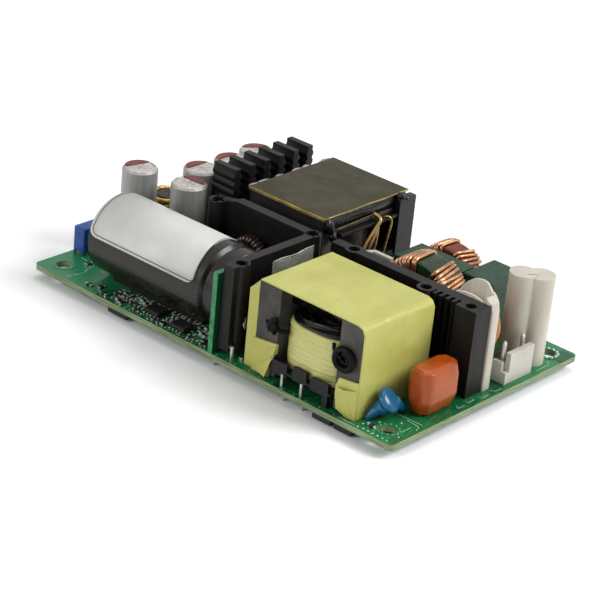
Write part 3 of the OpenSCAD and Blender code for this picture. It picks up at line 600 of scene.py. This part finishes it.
# ---- pieces of the supply
def wound_ring(ring, wire_r, *groups, look="copper", seed=3, lean=2.5):
    """Round wire turns, tight side by side, about a ring core on edge, its axis along Y.

    Each group is (first angle, last angle, number of turns), in degrees from +X towards +Z."""
    core = ring + "_core"
    low, high = box_mm(core)
    centre = (low + high) / 2
    outer = (high.x - low.x) / 2
    inner = min(hypot(v.co.x / MM - centre.x, v.co.z / MM - centre.z) for v in NODES[core].data.vertices)
    half = (high.y - low.y) / 2
    rng = random.Random(seed)
    pile = Pile()
    for first, last, count in groups:
        for i in range(count):
            angle = radians(first + (last - first) * i / max(count - 1, 1) + rng.uniform(-0.5, 0.5))
            slant = radians(lean + rng.uniform(-1.5, 1.5))
            proud = wire_r * (1.02 + rng.uniform(0, 0.25))
            layer = inner - wire_r if i % 2 else inner - 2.2 * wire_r
            middle, reach = (outer + proud + layer) / 2, (outer + proud - layer) / 2
            path = []
            for radius, depth in squircle((middle, 0), reach, half + proud, 7, 40):
                turn = angle + slant * depth / half
                path.append((centre.x + radius * cos(turn), centre.y + depth, centre.z + radius * sin(turn)))
            pile.tube(path, wire_r, closed=True)
    piece(ring + "_turns", pile, look, replaces=(ring + "_winding",))


def capacitor_label():
    """Bare label with rounded corners and a printed border, wrapped on the can."""
    low, high = box_mm("bulk_capacitor")
    label_low, label_high = box_mm("bulk_label")
    axis_y, axis_z = (low.y + high.y) / 2, (low.z + high.z) / 2
    radius = (high.y - low.y) / 2
    start, end = label_low.x, label_high.x + 1.0
    lower, upper = radians(11), radians(131)
    skew, corner, face = 1.4, 2.2, 0.12
    rows = 72

    def at(x, angle, lift):
        r = radius + lift
        x += skew * (x - start) / (end - start) * (upper - angle) / (upper - lower)
        return (x, axis_y - r * cos(angle), axis_z + r * sin(angle))

    outside, inside = [], []
    for row in range(rows + 1):
        s = lower * radius + (upper - lower) * radius * row / rows
        edge = min(s - lower * radius, upper * radius - s)
        cut = corner - sqrt(max(corner**2 - (corner - edge) ** 2, 0)) if edge < corner else 0
        for grid, lift in ((outside, face), (inside, 0.01)):
            grid.append([at(x, s / radius, lift) for x in (start + cut, end - cut)])
    paper = Pile()
    paper.sheet(outside, inside)
    piece("capacitor_label", paper, "label", replaces=("bulk_label",))

    inset, line, spacing = 0.75, 0.22, 0.8
    bend = corner - inset * 0.7
    x0, x1 = start + inset + bend, end - inset - bend
    s0, s1 = lower * radius + inset + bend, upper * radius - inset - bend
    outline = []
    for x, s, first in ((x1, s1, 0), (x0, s1, 90), (x0, s0, 180), (x1, s0, 270)):
        for a in (radians(first + 90 * f) for f in shares(8)):
            outline.append(at(x + bend * cos(a), (s + bend * sin(a)) / radius, face))
    path = []
    for a, b in zip(outline, outline[1:] + outline[:1]):
        steps = max(1, int(dist(a, b) / spacing))
        angle_a, angle_b = (atan2(p[2] - axis_z, axis_y - p[1]) for p in (a, b))
        for f in shares(steps)[:-1]:
            path.append(at(a[0] + (b[0] - a[0]) * f, angle_a + (angle_b - angle_a) * f, face))
    border = Pile()
    border.tube(path, line / 2, 6, closed=True)
    piece("label_border", border, "ink")


def can_lids():
    """Dark red segment painted on each can's lid."""
    pile = Pile()
    half, rim = acos(0.4), 0.55
    for (low, high), facing in zip(solids("output_capacitors"), (168, 180, 143, 178, 94)):
        centre = (low + high) / 2
        radius = (high.x - low.x) / 2 - rim
        ring = [radians(facing) + half * (2 * f - 1) for f in shares(20)]
        pile.loft([[(centre.x + radius * cos(a), centre.y + radius * sin(a), z) for a in ring]
                   for z in (high.z - 0.24, high.z + 0.03)])
    piece("can_lid_marks", pile, "can_red", smooth=False)


def boost_coil():
    """Tape-wrapped coil that fills its window, with the edge of each wrap proud of the last."""
    low, high = box_mm("boost_winding")
    centre = (low + high) / 2
    samples = 96
    wraps = (0, 0.13, 0.25, 0.36, 0.46, 0.56, 0.66, 0.78, 0.9, 1)
    rng = random.Random(11)
    lifts = [rng.uniform(-0.12, 0.16) for _ in wraps]
    rings = []
    for f in shares(60):
        ring = []
        for k, (x, y) in enumerate(squircle((0, 0), 10.9, 12.3, 3, samples)):
            angle = TURN * k / samples
            g = min(max(f + 0.012 * sin(2 * angle + 1) + 0.01 * sin(5 * angle), 0), 1)
            wrap = max(i for i, w in enumerate(wraps[:-1]) if g >= w)
            within = (g - wraps[wrap]) / (wraps[wrap + 1] - wraps[wrap])
            crease = noise.noise(Vector((x * 0.35, y * 0.35, f * 16))) * 0.2
            push = 1 + 0.012 * sin(pi * f) + (0.22 * (1 - within) + lifts[wrap] + crease) / 12
            if f in (0, 1):
                push -= 0.03
            ring.append((centre.x + x * push, centre.y + y * push, low.z + (high.z - low.z) * f))
        rings.append(ring)
    coil = Pile()
    coil.loft(rings)
    piece("coil_wrap", coil, "pale_yellow", replaces=("boost_winding",))

    pile = Pile()
    flange = squircle(centre, 10.6, 11.9, 3, 64)
    pile.loft([[(x, y, z) for x, y in flange] for z in (high.z - 0.05, high.z + 0.5)])
    for lift, reach, drop in ((1.1, 11.2, 0), (1.9, 10.4, 0.5), (1.3, 9.2, 0.2), (2.2, 11.6, 0.9)):
        arc = []
        for f in shares(8):
            a = radians(195 + 150 * f)
            arc.append((centre.x + reach * 0.92 * cos(a), centre.y + reach * sin(a),
                        high.z + lift + 0.7 * sin(3 * a + reach) - drop * f))
        pile.tube(smooth(arc, 4), 0.55, 8)
    core_low, core_high = box_mm("boost_core")
    pile.box((centre.x - 9.7, core_low.y + 4.2, core_high.z - 4.6),
             (centre.x + 9.7, core_low.y + 4.9, core_high.z - 0.1))
    piece("coil_top_leads", pile, "gloss_black")


def boost_ties():
    """Frayed knot at one leg and a coiled button of tubing at the other."""
    front = box_mm("boost_core")[0].y
    a, b = ((low + high) / 2 for low, high in solids("boost_knots"))
    rng = random.Random(4)
    pile = Pile()
    hub = Vector((a.x - 0.8, front - 0.9, a.z))
    for k in range(11):
        angle = TURN * k / 11 + rng.uniform(-0.2, 0.2)
        reach = rng.uniform(1.5, 2.7)
        tip = hub + Vector((reach * cos(angle), rng.uniform(-0.7, 0.3), reach * sin(angle)))
        bend = (hub + tip) / 2 + Vector((0, -0.5, 0))
        pile.tube(smooth([hub, bend, tip], 4), lambda t: 0.85 - 0.35 * t, 7)
    end = Vector((a.x + 2.6, front + 0.6, a.z - 0.9))
    pile.tube(smooth([hub, (hub + end) / 2 + Vector((0, -0.4, -0.5)), end], 5), 0.55, 8)
    centre = Vector((b.x, front - 0.6, b.z))
    for radius, wire, out in ((2.7, 0.85, 0.3), (1.2, 0.7, -0.3)):
        pile.tube([centre + Vector((radius * c, 0.15 * sin(3 * TURN * k / 32) - out, radius * s))
                   for k, (c, s) in enumerate(circle(32))], wire, 9, closed=True)
    pile.loft([[centre + Vector((2.6 * c, depth, 2.6 * s)) for c, s in circle(24)] for depth in (0.6, 0.2)])
    tail = ((-0.6, -0.5, 0), (-3.6, 0.4, 0.6), (-5, 1.6, 1.8))
    pile.tube(smooth([centre + Vector(p) for p in tail], 5), 0.5, 8)
    piece("boost_ties", pile, "tie_black", replaces=("boost_knots",))


def tape_folds():
    """Loose triangular folds where the tape is tucked in at the foot of each leg."""
    low, high = box_mm("boost_core")
    corner = Vector(((low.x + high.x) / 2, low.y - 0.62, 0))
    thick = 0.12
    pile = Pile()
    for fold in (
        [(-9.3, -0.1, 8.9), (-16.2, -0.05, 2.4), (-11.6, -1.1, 1.9), (-10.2, -0.9, 6.6)],
        [(-9.2, -0.1, 11.2), (-12.2, -0.7, 8.3), (-9.5, -0.9, 8.6)],
        [(10.9, -0.1, 8.6), (13.9, -1, 9), (16.6, -0.05, 2), (11.4, -0.4, 2.8)],
        [(13.9, -1, 9), (17.1, -0.05, 9.6), (17.2, -0.05, 2), (16, -0.1, 2.2)],
    ):
        points = [corner + Vector(p) for p in fold]
        normal = (points[1] - points[0]).cross(points[2] - points[0]).normalized() * thick
        pile.loft([points, [p + normal for p in points]])
    piece("tape_folds", pile, "yellow", smooth=False)


def transformer_trim():
    """Gilt rim under the cover sheet, glossy tape on the open side, leads, and glue at the corners."""
    low, high = box_mm("transformer_tape")
    core_low, core_high = box_mm("transformer_core")
    x, z = core_high.x, high.z - 0.3
    rim = Pile()
    for start, end, wide in (
        ((low.x, low.y - 0.05, z), (high.x, low.y - 0.05, z), 0.3),
        ((low.x, low.y - 0.02, z - 0.5), (high.x, low.y - 0.02, z - 0.5), 0.16),
        ((high.x + 0.05, low.y, z), (high.x + 0.05, high.y, z), 0.24),
        ((high.x, high.y + 0.02, z), (low.x, high.y + 0.02, z), 0.18),
        ((low.x - 0.02, high.y, z), (low.x - 0.02, low.y, z), 0.18),
    ):
        a, b = Vector(start), Vector(end)
        rim.tube([a + (b - a) * f + Vector((0, 0, 0.05 * sin(f * 15.6))) for f in shares(12)], wide, 6)
    rim.tube(smooth([(x + 0.75, low.y + 5, core_high.z - 3.7), (x + 0.8, low.y + 12, core_high.z - 3.4),
                     (x + 0.7, low.y + 20, core_high.z - 3.1)], 5), 0.1, 6)
    piece("transformer_rim", rim, "gold")

    outside, inside = [], []
    for u in shares(24):
        y = core_low.y + 0.2 + (core_high.y - core_low.y - 5.2) * u
        swell = 0.75 * (0.8 + 0.2 * sin(u * 12))
        line = [(swell * sin(pi * min(v * 1.1, 1)) + 0.12, core_high.z - 0.1 - 3.5 * v) for v in shares(8)]
        outside.append([(x + out, y, level) for out, level in line])
        inside.append([(x + 0.02, y, level) for out, level in line])
    side = Pile()
    side.sheet(outside, inside)
    piece("transformer_side_tape", side, "gloss_black")

    leads = Pile()
    for path, thick in (
        (((0.2, 22.2, 24.6), (2.6, 22.8, 23.4), (2.6, 21, 21.2), (2.6, 17.9, 17.8), (2.4, 15.6, 13.2),
          (1.8, 15.2, 11.2)), 0.55),
        (((2.5, 22.2, 22.2), (2.9, 20.6, 19.2), (2.8, 18.4, 15.2), (2.2, 17.6, 11.2)), 0.42),
        (((2.4, 22.4, 22), (3, 21.4, 18), (2.9, 20.4, 14.4), (2.2, 19.8, 11.2)), 0.38),
        (((0.2, 26, 22.4), (2.2, 26.9, 22.9), (2.8, 27.4, 21.2), (2.8, 26.4, 17.4), (2.4, 25.6, 12.6),
          (1.8, 25.2, 11.2)), 0.38),
    ):
        leads.tube(smooth([(x + out, y, level) for out, y, level in path]), thick, 9)
    piece("transformer_coil_leads", leads, "lead_gold", replaces=("transformer_leads",))

    glue, dabs = Pile(), Pile()
    glue.blob((x + 0.7, 3.8, 25.6), (1.3, 1.6, 2.3), 1.3)
    glue.blob((x + 1.5, 4.8, 22.6), (1.0, 1.2, 1.6), 4.1)
    glue.blob((x + 1.2, 32.6, 27.0), (1.4, 1.5, 1.3), 2.2)
    glue.blob((x + 1.9, 34.4, 26.6), (1.0, 1.8, 0.7), 6.4)
    piece("transformer_glue", glue, "gloss_black")
    for i, y in enumerate((4.6, 8.2, 14.6, 21.8, 25.6, 33.2)):
        dabs.blob((low.x - 0.4, y, high.z - 0.5), (0.8, 1.7 + 0.5 * (i % 2), 0.5), i * 1.7, 0.5, 8, 12)
    piece("transformer_edge_glue", dabs, "clear_glue", replaces=("glue_dabs",))


def dipped_film():
    """Resin-dipped film capacitor: a faceted block that narrows towards the board."""
    low, high = box_mm("film_capacitor")
    bottom, top = low.z - 0.75, high.z + 0.3
    cx, cy = (low.x + high.x) / 2 + 0.6, (low.y + high.y) / 2 - 1.05
    rx, ry = (high.x - low.x) / 2 + 0.35, (high.y - low.y) / 2 + 0.95
    outline = ((-1, -0.72), (-0.45, -1), (0.5, -1), (1, -0.74), (1, 0.74), (0.5, 1), (-0.5, 1), (-1, 0.72))
    rows = ((0, 0.66, 0.84), (0.3, 1, 0.99), (0.74, 1, 1), (0.94, 0.86, 0.96), (1, 0.55, 0.82))
    pile = Pile()
    pile.loft([[(cx + rx * wide * x - 0.35 * (f - 0.5), cy + ry * deep * y, bottom + (top - bottom) * f)
                for x, y in outline] for f, wide, deep in rows])
    obj = piece("dipped_film", pile, "orange", replaces=("film_capacitor",))
    for edge in obj.data.attributes.new("crease_edge", "FLOAT", "EDGE").data:
        edge.value = 0.55
    rounded = obj.modifiers.new("rounded", "SUBSURF")
    rounded.levels = rounded.render_levels = 3


def dipped_disc():
    """Small dipped disc that leans on the choke, its coating running down both leads."""
    centre = Vector((53.6, -27.9, 6.3))
    axis = Vector((0.72, 0.2, 0.66)).normalized()
    side = axis.orthogonal().normalized()
    other = axis.cross(side)
    half = 1.25
    profile = ((1.6, -1.2), (2.6, -0.95), (3.2, -0.55), (3.45, 0), (3.2, 0.55), (2.6, 0.95), (1.6, 1.2))
    pile = Pile()
    pile.loft([[centre + axis * h + (side * c + other * s) * r for c, s in circle(40)] for r, h in profile],
              ends=(centre - axis * half, centre + axis * half))
    for start, leads, thick in (
        ((-0.4, -1.6, -1.2), [(52, -30.6, 3.8), (51.2, -32, 2.4), (51, -32.6, 1.5)],
         lambda t: 2.1 - 1.45 * t ** 0.8),
        ((0.2, 1.8, -0.9), [(54, -24.4, 4.2), (54, -22.8, 2.6), (53.6, -21.8, 1.5)], lambda t: 1.7 - 1.1 * t),
    ):
        pile.tube(smooth([centre + Vector(start)] + leads), thick, 12)
    piece("dipped_disc", pile, "disc", replaces=("disc_capacitor",))


def varistor_disc():
    """Thick coated disc with a rounded rim, its coating running a little down both leads."""
    low, high = box_mm("varistor")
    middle, half = (low.y + high.y) / 2, (high.y - low.y) / 2
    centre = Vector((50.2, middle, 15.3))
    radius = 7.8
    rim = [(radius - half + half * cos(a), half * sin(a)) for a in (pi * (0.5 - f) for f in shares(8))]
    pile = Pile()
    pile.loft([[centre + Vector((r * c, depth, r * s)) for c, s in circle(48)] for r, depth in rim])
    for x in (47.4, 52.8):
        pile.tube([(x, middle, z) for z in (10, 8.2, 6.6, 5.2, 4.4)], lambda t: 1.1 - 0.55 * t, 12)
        pile.tube([(x, middle, z) for z in (5, 3.2, 1.6)], 0.4)
    piece("varistor_disc", pile, "amber", replaces=("varistor",))


def thermistor_tube():
    """Flattened white tube with an open, tilted mouth, lower on the side of the heatsink."""
    low, high = box_mm("thermistor_sleeve")
    wall = 0.55
    outline = ((47.4, 4.4), (50, 6), (54, 6.4), (57.6, 5.2), (60.2, 4))
    shoulders = ((56.6, high.z - 1.5), (58, high.z - 2), (59.4, high.z - 3), (60.2, high.z - 5.2))
    middle, reach = 52.6, 5.2

    def along(points, x):
        for (x0, v0), (x1, v1) in zip(points, points[1:]):
            if x <= x1:
                return v0 + (v1 - v0) * max((x - x0) / (x1 - x0), 0)
        return points[-1][1]

    rows = []
    for x in (low.x + (high.x - low.x) * f for f in shares(64)):
        round_top = high.z - reach + sqrt(max(reach**2 - (x - middle) ** 2, 0))
        top = min(max(round_top, along(shoulders, x) if x > 56.6 else high.z - 5), high.z)
        open_here = min(max((x - low.x - wall) / 0.5, 0), 1) * min(max((57.2 - x) / 0.9, 0), 1)
        mouth = top - 2.6 * sqrt(max(1 - ((x - middle) / 4.9) ** 2, 0))
        floor = mouth - 4.5 * open_here
        front, back = low.y, along(outline, x)
        rows.append([(x, y, z) for y, z in (
            (front, low.z), (front, mouth), (front + wall, mouth), (front + wall, floor),
            (back - wall, floor), (back - wall, top), (back, top), (back, low.z))])
    pile = Pile()
    pile.loft(rows)
    tube = piece("thermistor_tube", pile, "white_sleeve", replaces=("thermistor_sleeve",))
    soften(tube, 0.2)


def board_chips():
    """Tiny chip parts and their solder ends beside the big capacitor."""
    top = box_mm("pcb")[1].z
    near, apart, most = Vector((0.4, 0.4, 0)), Vector((0.25, 0.25, 0)), 75
    taken = [(a - near, b + near) for a, b in solids("smd_top")]
    rng = random.Random(31)
    bodies, ends = Pile(), Pile()
    for _ in range(400):
        x = rng.uniform(-37, 1.5)
        y = rng.uniform(-35.4, -30.5 + 2.5 * (x + 37) / 38)
        w, d = rng.choice(((0.8, 0.45), (0.45, 0.8), (1.1, 0.6)))
        low, high = Vector((x - w, y - d, top)), Vector((x + w, y + d, top))
        if any(low.x < b.x and a.x < high.x and low.y < b.y and a.y < high.y for a, b in taken):
            continue
        taken.append((low - apart, high + apart))
        chip(bodies, ends, (x, y), (w, d), (top, top + 0.5), (top, top + 0.54), 0.3, lip=0.04)
        if len(taken) > most:
            break
    piece("board_chips", bodies, "chip", smooth=False)
    piece("board_chip_ends", ends, "solder", smooth=False)


def board_print():
    """Printed outlines, dots, solder spots and a few traces on the board."""
    top = box_mm("pcb")[1].z
    thick = 0.03
    white, dots, lanes = Pile(), Pile(), Pile()

    def stroke(pile, points, wide):
        for (x0, y0), (x1, y1) in zip(points, points[1:]):
            along = Vector((x1 - x0, y1 - y0, 0)).normalized()
            across = Vector((-along.y, along.x, 0)) * wide / 2
            along *= wide * 0.3
            a, b = Vector((x0, y0, top)) - along, Vector((x1, y1, top)) + along
            ring = [a - across, b - across, b + across, a + across]
            pile.loft([ring, [v + Vector((0, 0, thick)) for v in ring]])

    arc = [(-57.8 + 6.9 * cos(a), -32.4 + 6.9 * sin(a)) for a in (radians(95 - 133 * f) for f in shares(24))]
    for wide, lines in (
        (0.18, (arc, [(-51.4, -33.3), (-51.5, -37.3)])),
        (0.16, ([(-52.1, -26.6), (-51.8, -30)], [(-45.6, -27.4), (-45.3, -36.9)])),
        (0.14, ([(-30.8, -31.8), (-27.4, -32.3), (-24.6, -32.5)], [(-8, -33.4), (-2.2, -33.2)])),
        (0.15, (
            [(53.2, -24.6), (61.8, -24.2)], [(57.7, -25.1), (61.8, -25.6), (62.4, -27.4)],
            [(60.7, -31), (60.7, -27.4)], [(60.6, -9.6), (61.9, -10.4), (61.9, -7.8)],
            [(60.8, -6.2), (61.6, -6.2), (61.6, -3.6), (60.6, -3.6)],
            [(61.2, -1.4), (62.3, -1.4), (62.3, 1.2)], [(61, 3.4), (62.2, 4.4), (62.2, 6.4)],
            [(62, 22), (62, 27.5), (60.4, 28.6)], [(54.6, -33.4), (56.2, -34.6)],
            [(46, -37.2), (50.6, -37.2)],
        )),
    ):
        for line in lines:
            stroke(white, line, wide)
    for x, y in (
        (-36.1, -30.2), (-31.8, -27.4), (-28.9, -27.6), (-30, -30.7), (-27.8, -30.4), (-25.9, -30.2),
        (-17.4, -34.4), (-17, -31.7), (-15.2, -33.6), (-7.4, -35), (-6.3, -37.2), (-6.4, -34.2),
        (-7.2, -31.6), (-4.4, -28.8), (-3.6, -35.6), (-3.4, -31.2), (0.4, -34.8), (-20.4, -37.2),
        (-24.8, -33.6), (51, -32.2), (52.4, -33.6), (52, -35), (53.6, -36.8), (55.1, -36.8),
        (56.6, -36.8), (58.1, -36.8), (59.6, -36.8), (61.1, -36.9), (52, -37), (54, -31.2),
        (57.8, -27.4), (61.9, -33.4),
    ):
        dots.disc((x, y, top), 0.22 if y < -36.5 or x > 50 else 0.34, 0.14, 12, 0.55)
    rng = random.Random(21)
    for _ in range(46):
        x = rng.uniform(-38, 1)
        y = -37.3 + rng.uniform(0, 1) * (4 + 4.5 * (x + 38) / 39)
        dots.disc((x, y, top), rng.uniform(0.16, 0.3), 0.12, 10, 0.6)
    for x in range(-40, 60, 4):
        dots.disc((x + rng.uniform(-1, 1), -37.3, top), 0.16, 0.05, 8, 0.8)
    for i in range(30):
        x, y = -48 + 3.1 * i, -37.2 + 0.35 * (i % 3)
        run = rng.uniform(1.6, 3.4)
        bend = rng.choice((-1.2, 1.2))
        stroke(lanes, [(x, y), (x + run, y), (x + run + bend, y + 1.3), (x + run + bend, y + 3.2)], 0.22)
    for i in range(14):
        x, y = 60.9 + 0.72 * (i % 3), -34 + 4.7 * i
        stroke(lanes, [(x, y), (x, y + 2.2), (x + 0.7, y + 3)], 0.24)
    piece("board_marks", white, "ink_white", smooth=False)
    piece("board_traces", lanes, "trace", smooth=False)
    piece("solder_spots", dots, "solder", smooth=False)


def underside():
    """Small parts, traces and solder between the lead ends underneath."""
    keep = [((a.x + b.x) / 2, (a.y + b.y) / 2) for a, b in solids("lead_tips")]
    for a, b in solids("smd_underside"):
        keep += [(a.x + (b.x - a.x) * i / 3, a.y + (b.y - a.y) * j / 2) for i in range(4) for j in range(3)]
    keep += [(sx * 57.785, sy * 32.385) for sx in (-1, 1) for sy in (-1, 1)]
    from_leads, from_parts, most = 4.4, 4.2, 70
    rng = random.Random(8)
    placed = []
    for _ in range(900):
        if len(placed) > most:
            break
        x, y = rng.uniform(-56, 56), rng.uniform(-31, 33)
        if any(hypot(x - a, y - b) < from_leads for a, b in keep) or any(
                hypot(x - a, y - b) < from_parts for a, b, _ in placed):
            continue
        placed.append((x, y, rng.random() < 0.5))
    bodies, ends, lanes = Pile(), Pile(), Pile()
    for x, y, upright in placed:
        w, d = (0.7, 1.2) if upright else (1.2, 0.7)
        chip(bodies, ends, (x, y), (w, d), (-0.55, 0), (-0.58, 0), 0.4, inset=0.4)
        reach = rng.uniform(2, 3.4)
        if upright:
            lanes.box((x, y + d, -0.03), (x + 0.3, y + reach, 0))
        else:
            lanes.box((x + w, y - 0.15, -0.03), (x + reach, y + 0.15, 0))
    piece("underside_parts", bodies, "chip", smooth=False)
    piece("underside_terminals", ends, "solder", smooth=False)
    piece("underside_traces", lanes, "trace", smooth=False)


def insulator():
    """Thin grey film whose free top edge waves."""
    low, high = box_mm("insulator_film")
    thick = 0.3
    front = []
    for u in shares(24):
        y = low.y + (high.y - low.y) * u
        top = high.z - 0.3 + 0.35 * sin(1.2 * TURN * u)
        front.append([(high.x + 0.35 * sin(TURN * u) * v**2, y, low.z + (top - low.z) * v)
                      for v in shares(6)])
    film = Pile()
    film.sheet(front, [[(x - thick, y, z) for x, y, z in row] for row in front], inward=True)
    piece("insulator_sheet", film, "film", replaces=("insulator_film",))


def can_choke():
    """Thick wire wound round a dark post that ends just below the top turn."""
    low, high = box_mm("output_choke_coil")
    middle = (low + high) / 2
    wire, turns, steps = 0.8, 6.6, 24
    reach = (high.x - low.x) / 2 - wire
    coil, post = Pile(), Pile()
    coil.tube([(middle.x + reach * cos(a), middle.y + reach * sin(a),
                low.z + wire + (high.z - low.z - 2 * wire) * a / (turns * TURN))
               for a in (TURN * k / steps for k in range(int(turns * steps) + 1))], wire, 12)
    piece("choke_turns", coil, "brass", replaces=("output_choke_coil",))
    foot = box_mm("output_choke_core")[0].z
    post.disc((middle.x, middle.y, foot), 3.3, high.z - 1.0 - foot, 32, 0.97)
    piece("choke_post", post, "ferrite", smooth=False, replaces=("output_choke_core",))


def compound_dab():
    """Dab of white compound on the corner heatsink."""
    pile = Pile()
    pile.blob((8.6, -32.2, 10.2), (0.35, 0.7, 1.8), 3.3, 0.5)
    piece("compound_dab", pile, "solder")


dress_nodes()
wound_ring("cm_choke", 0.5, (-6, 62, 12), (97, 172, 13))
wound_ring("dm_choke", 0.46, (-8, 64, 10), (100, 178, 11), seed=5, lean=-3)
wound_ring("aux_inductor", 0.36, (-4, 84, 8), (96, 184, 8), look="dark_wire", seed=8)
for make in (boost_coil, boost_ties, tape_folds, transformer_trim, dipped_film, dipped_disc, insulator,
             varistor_disc, thermistor_tube, board_chips, compound_dab, can_choke, board_print, underside,
             capacitor_label, can_lids, camera, studio):
    make()

bpy.context.view_layer.update()
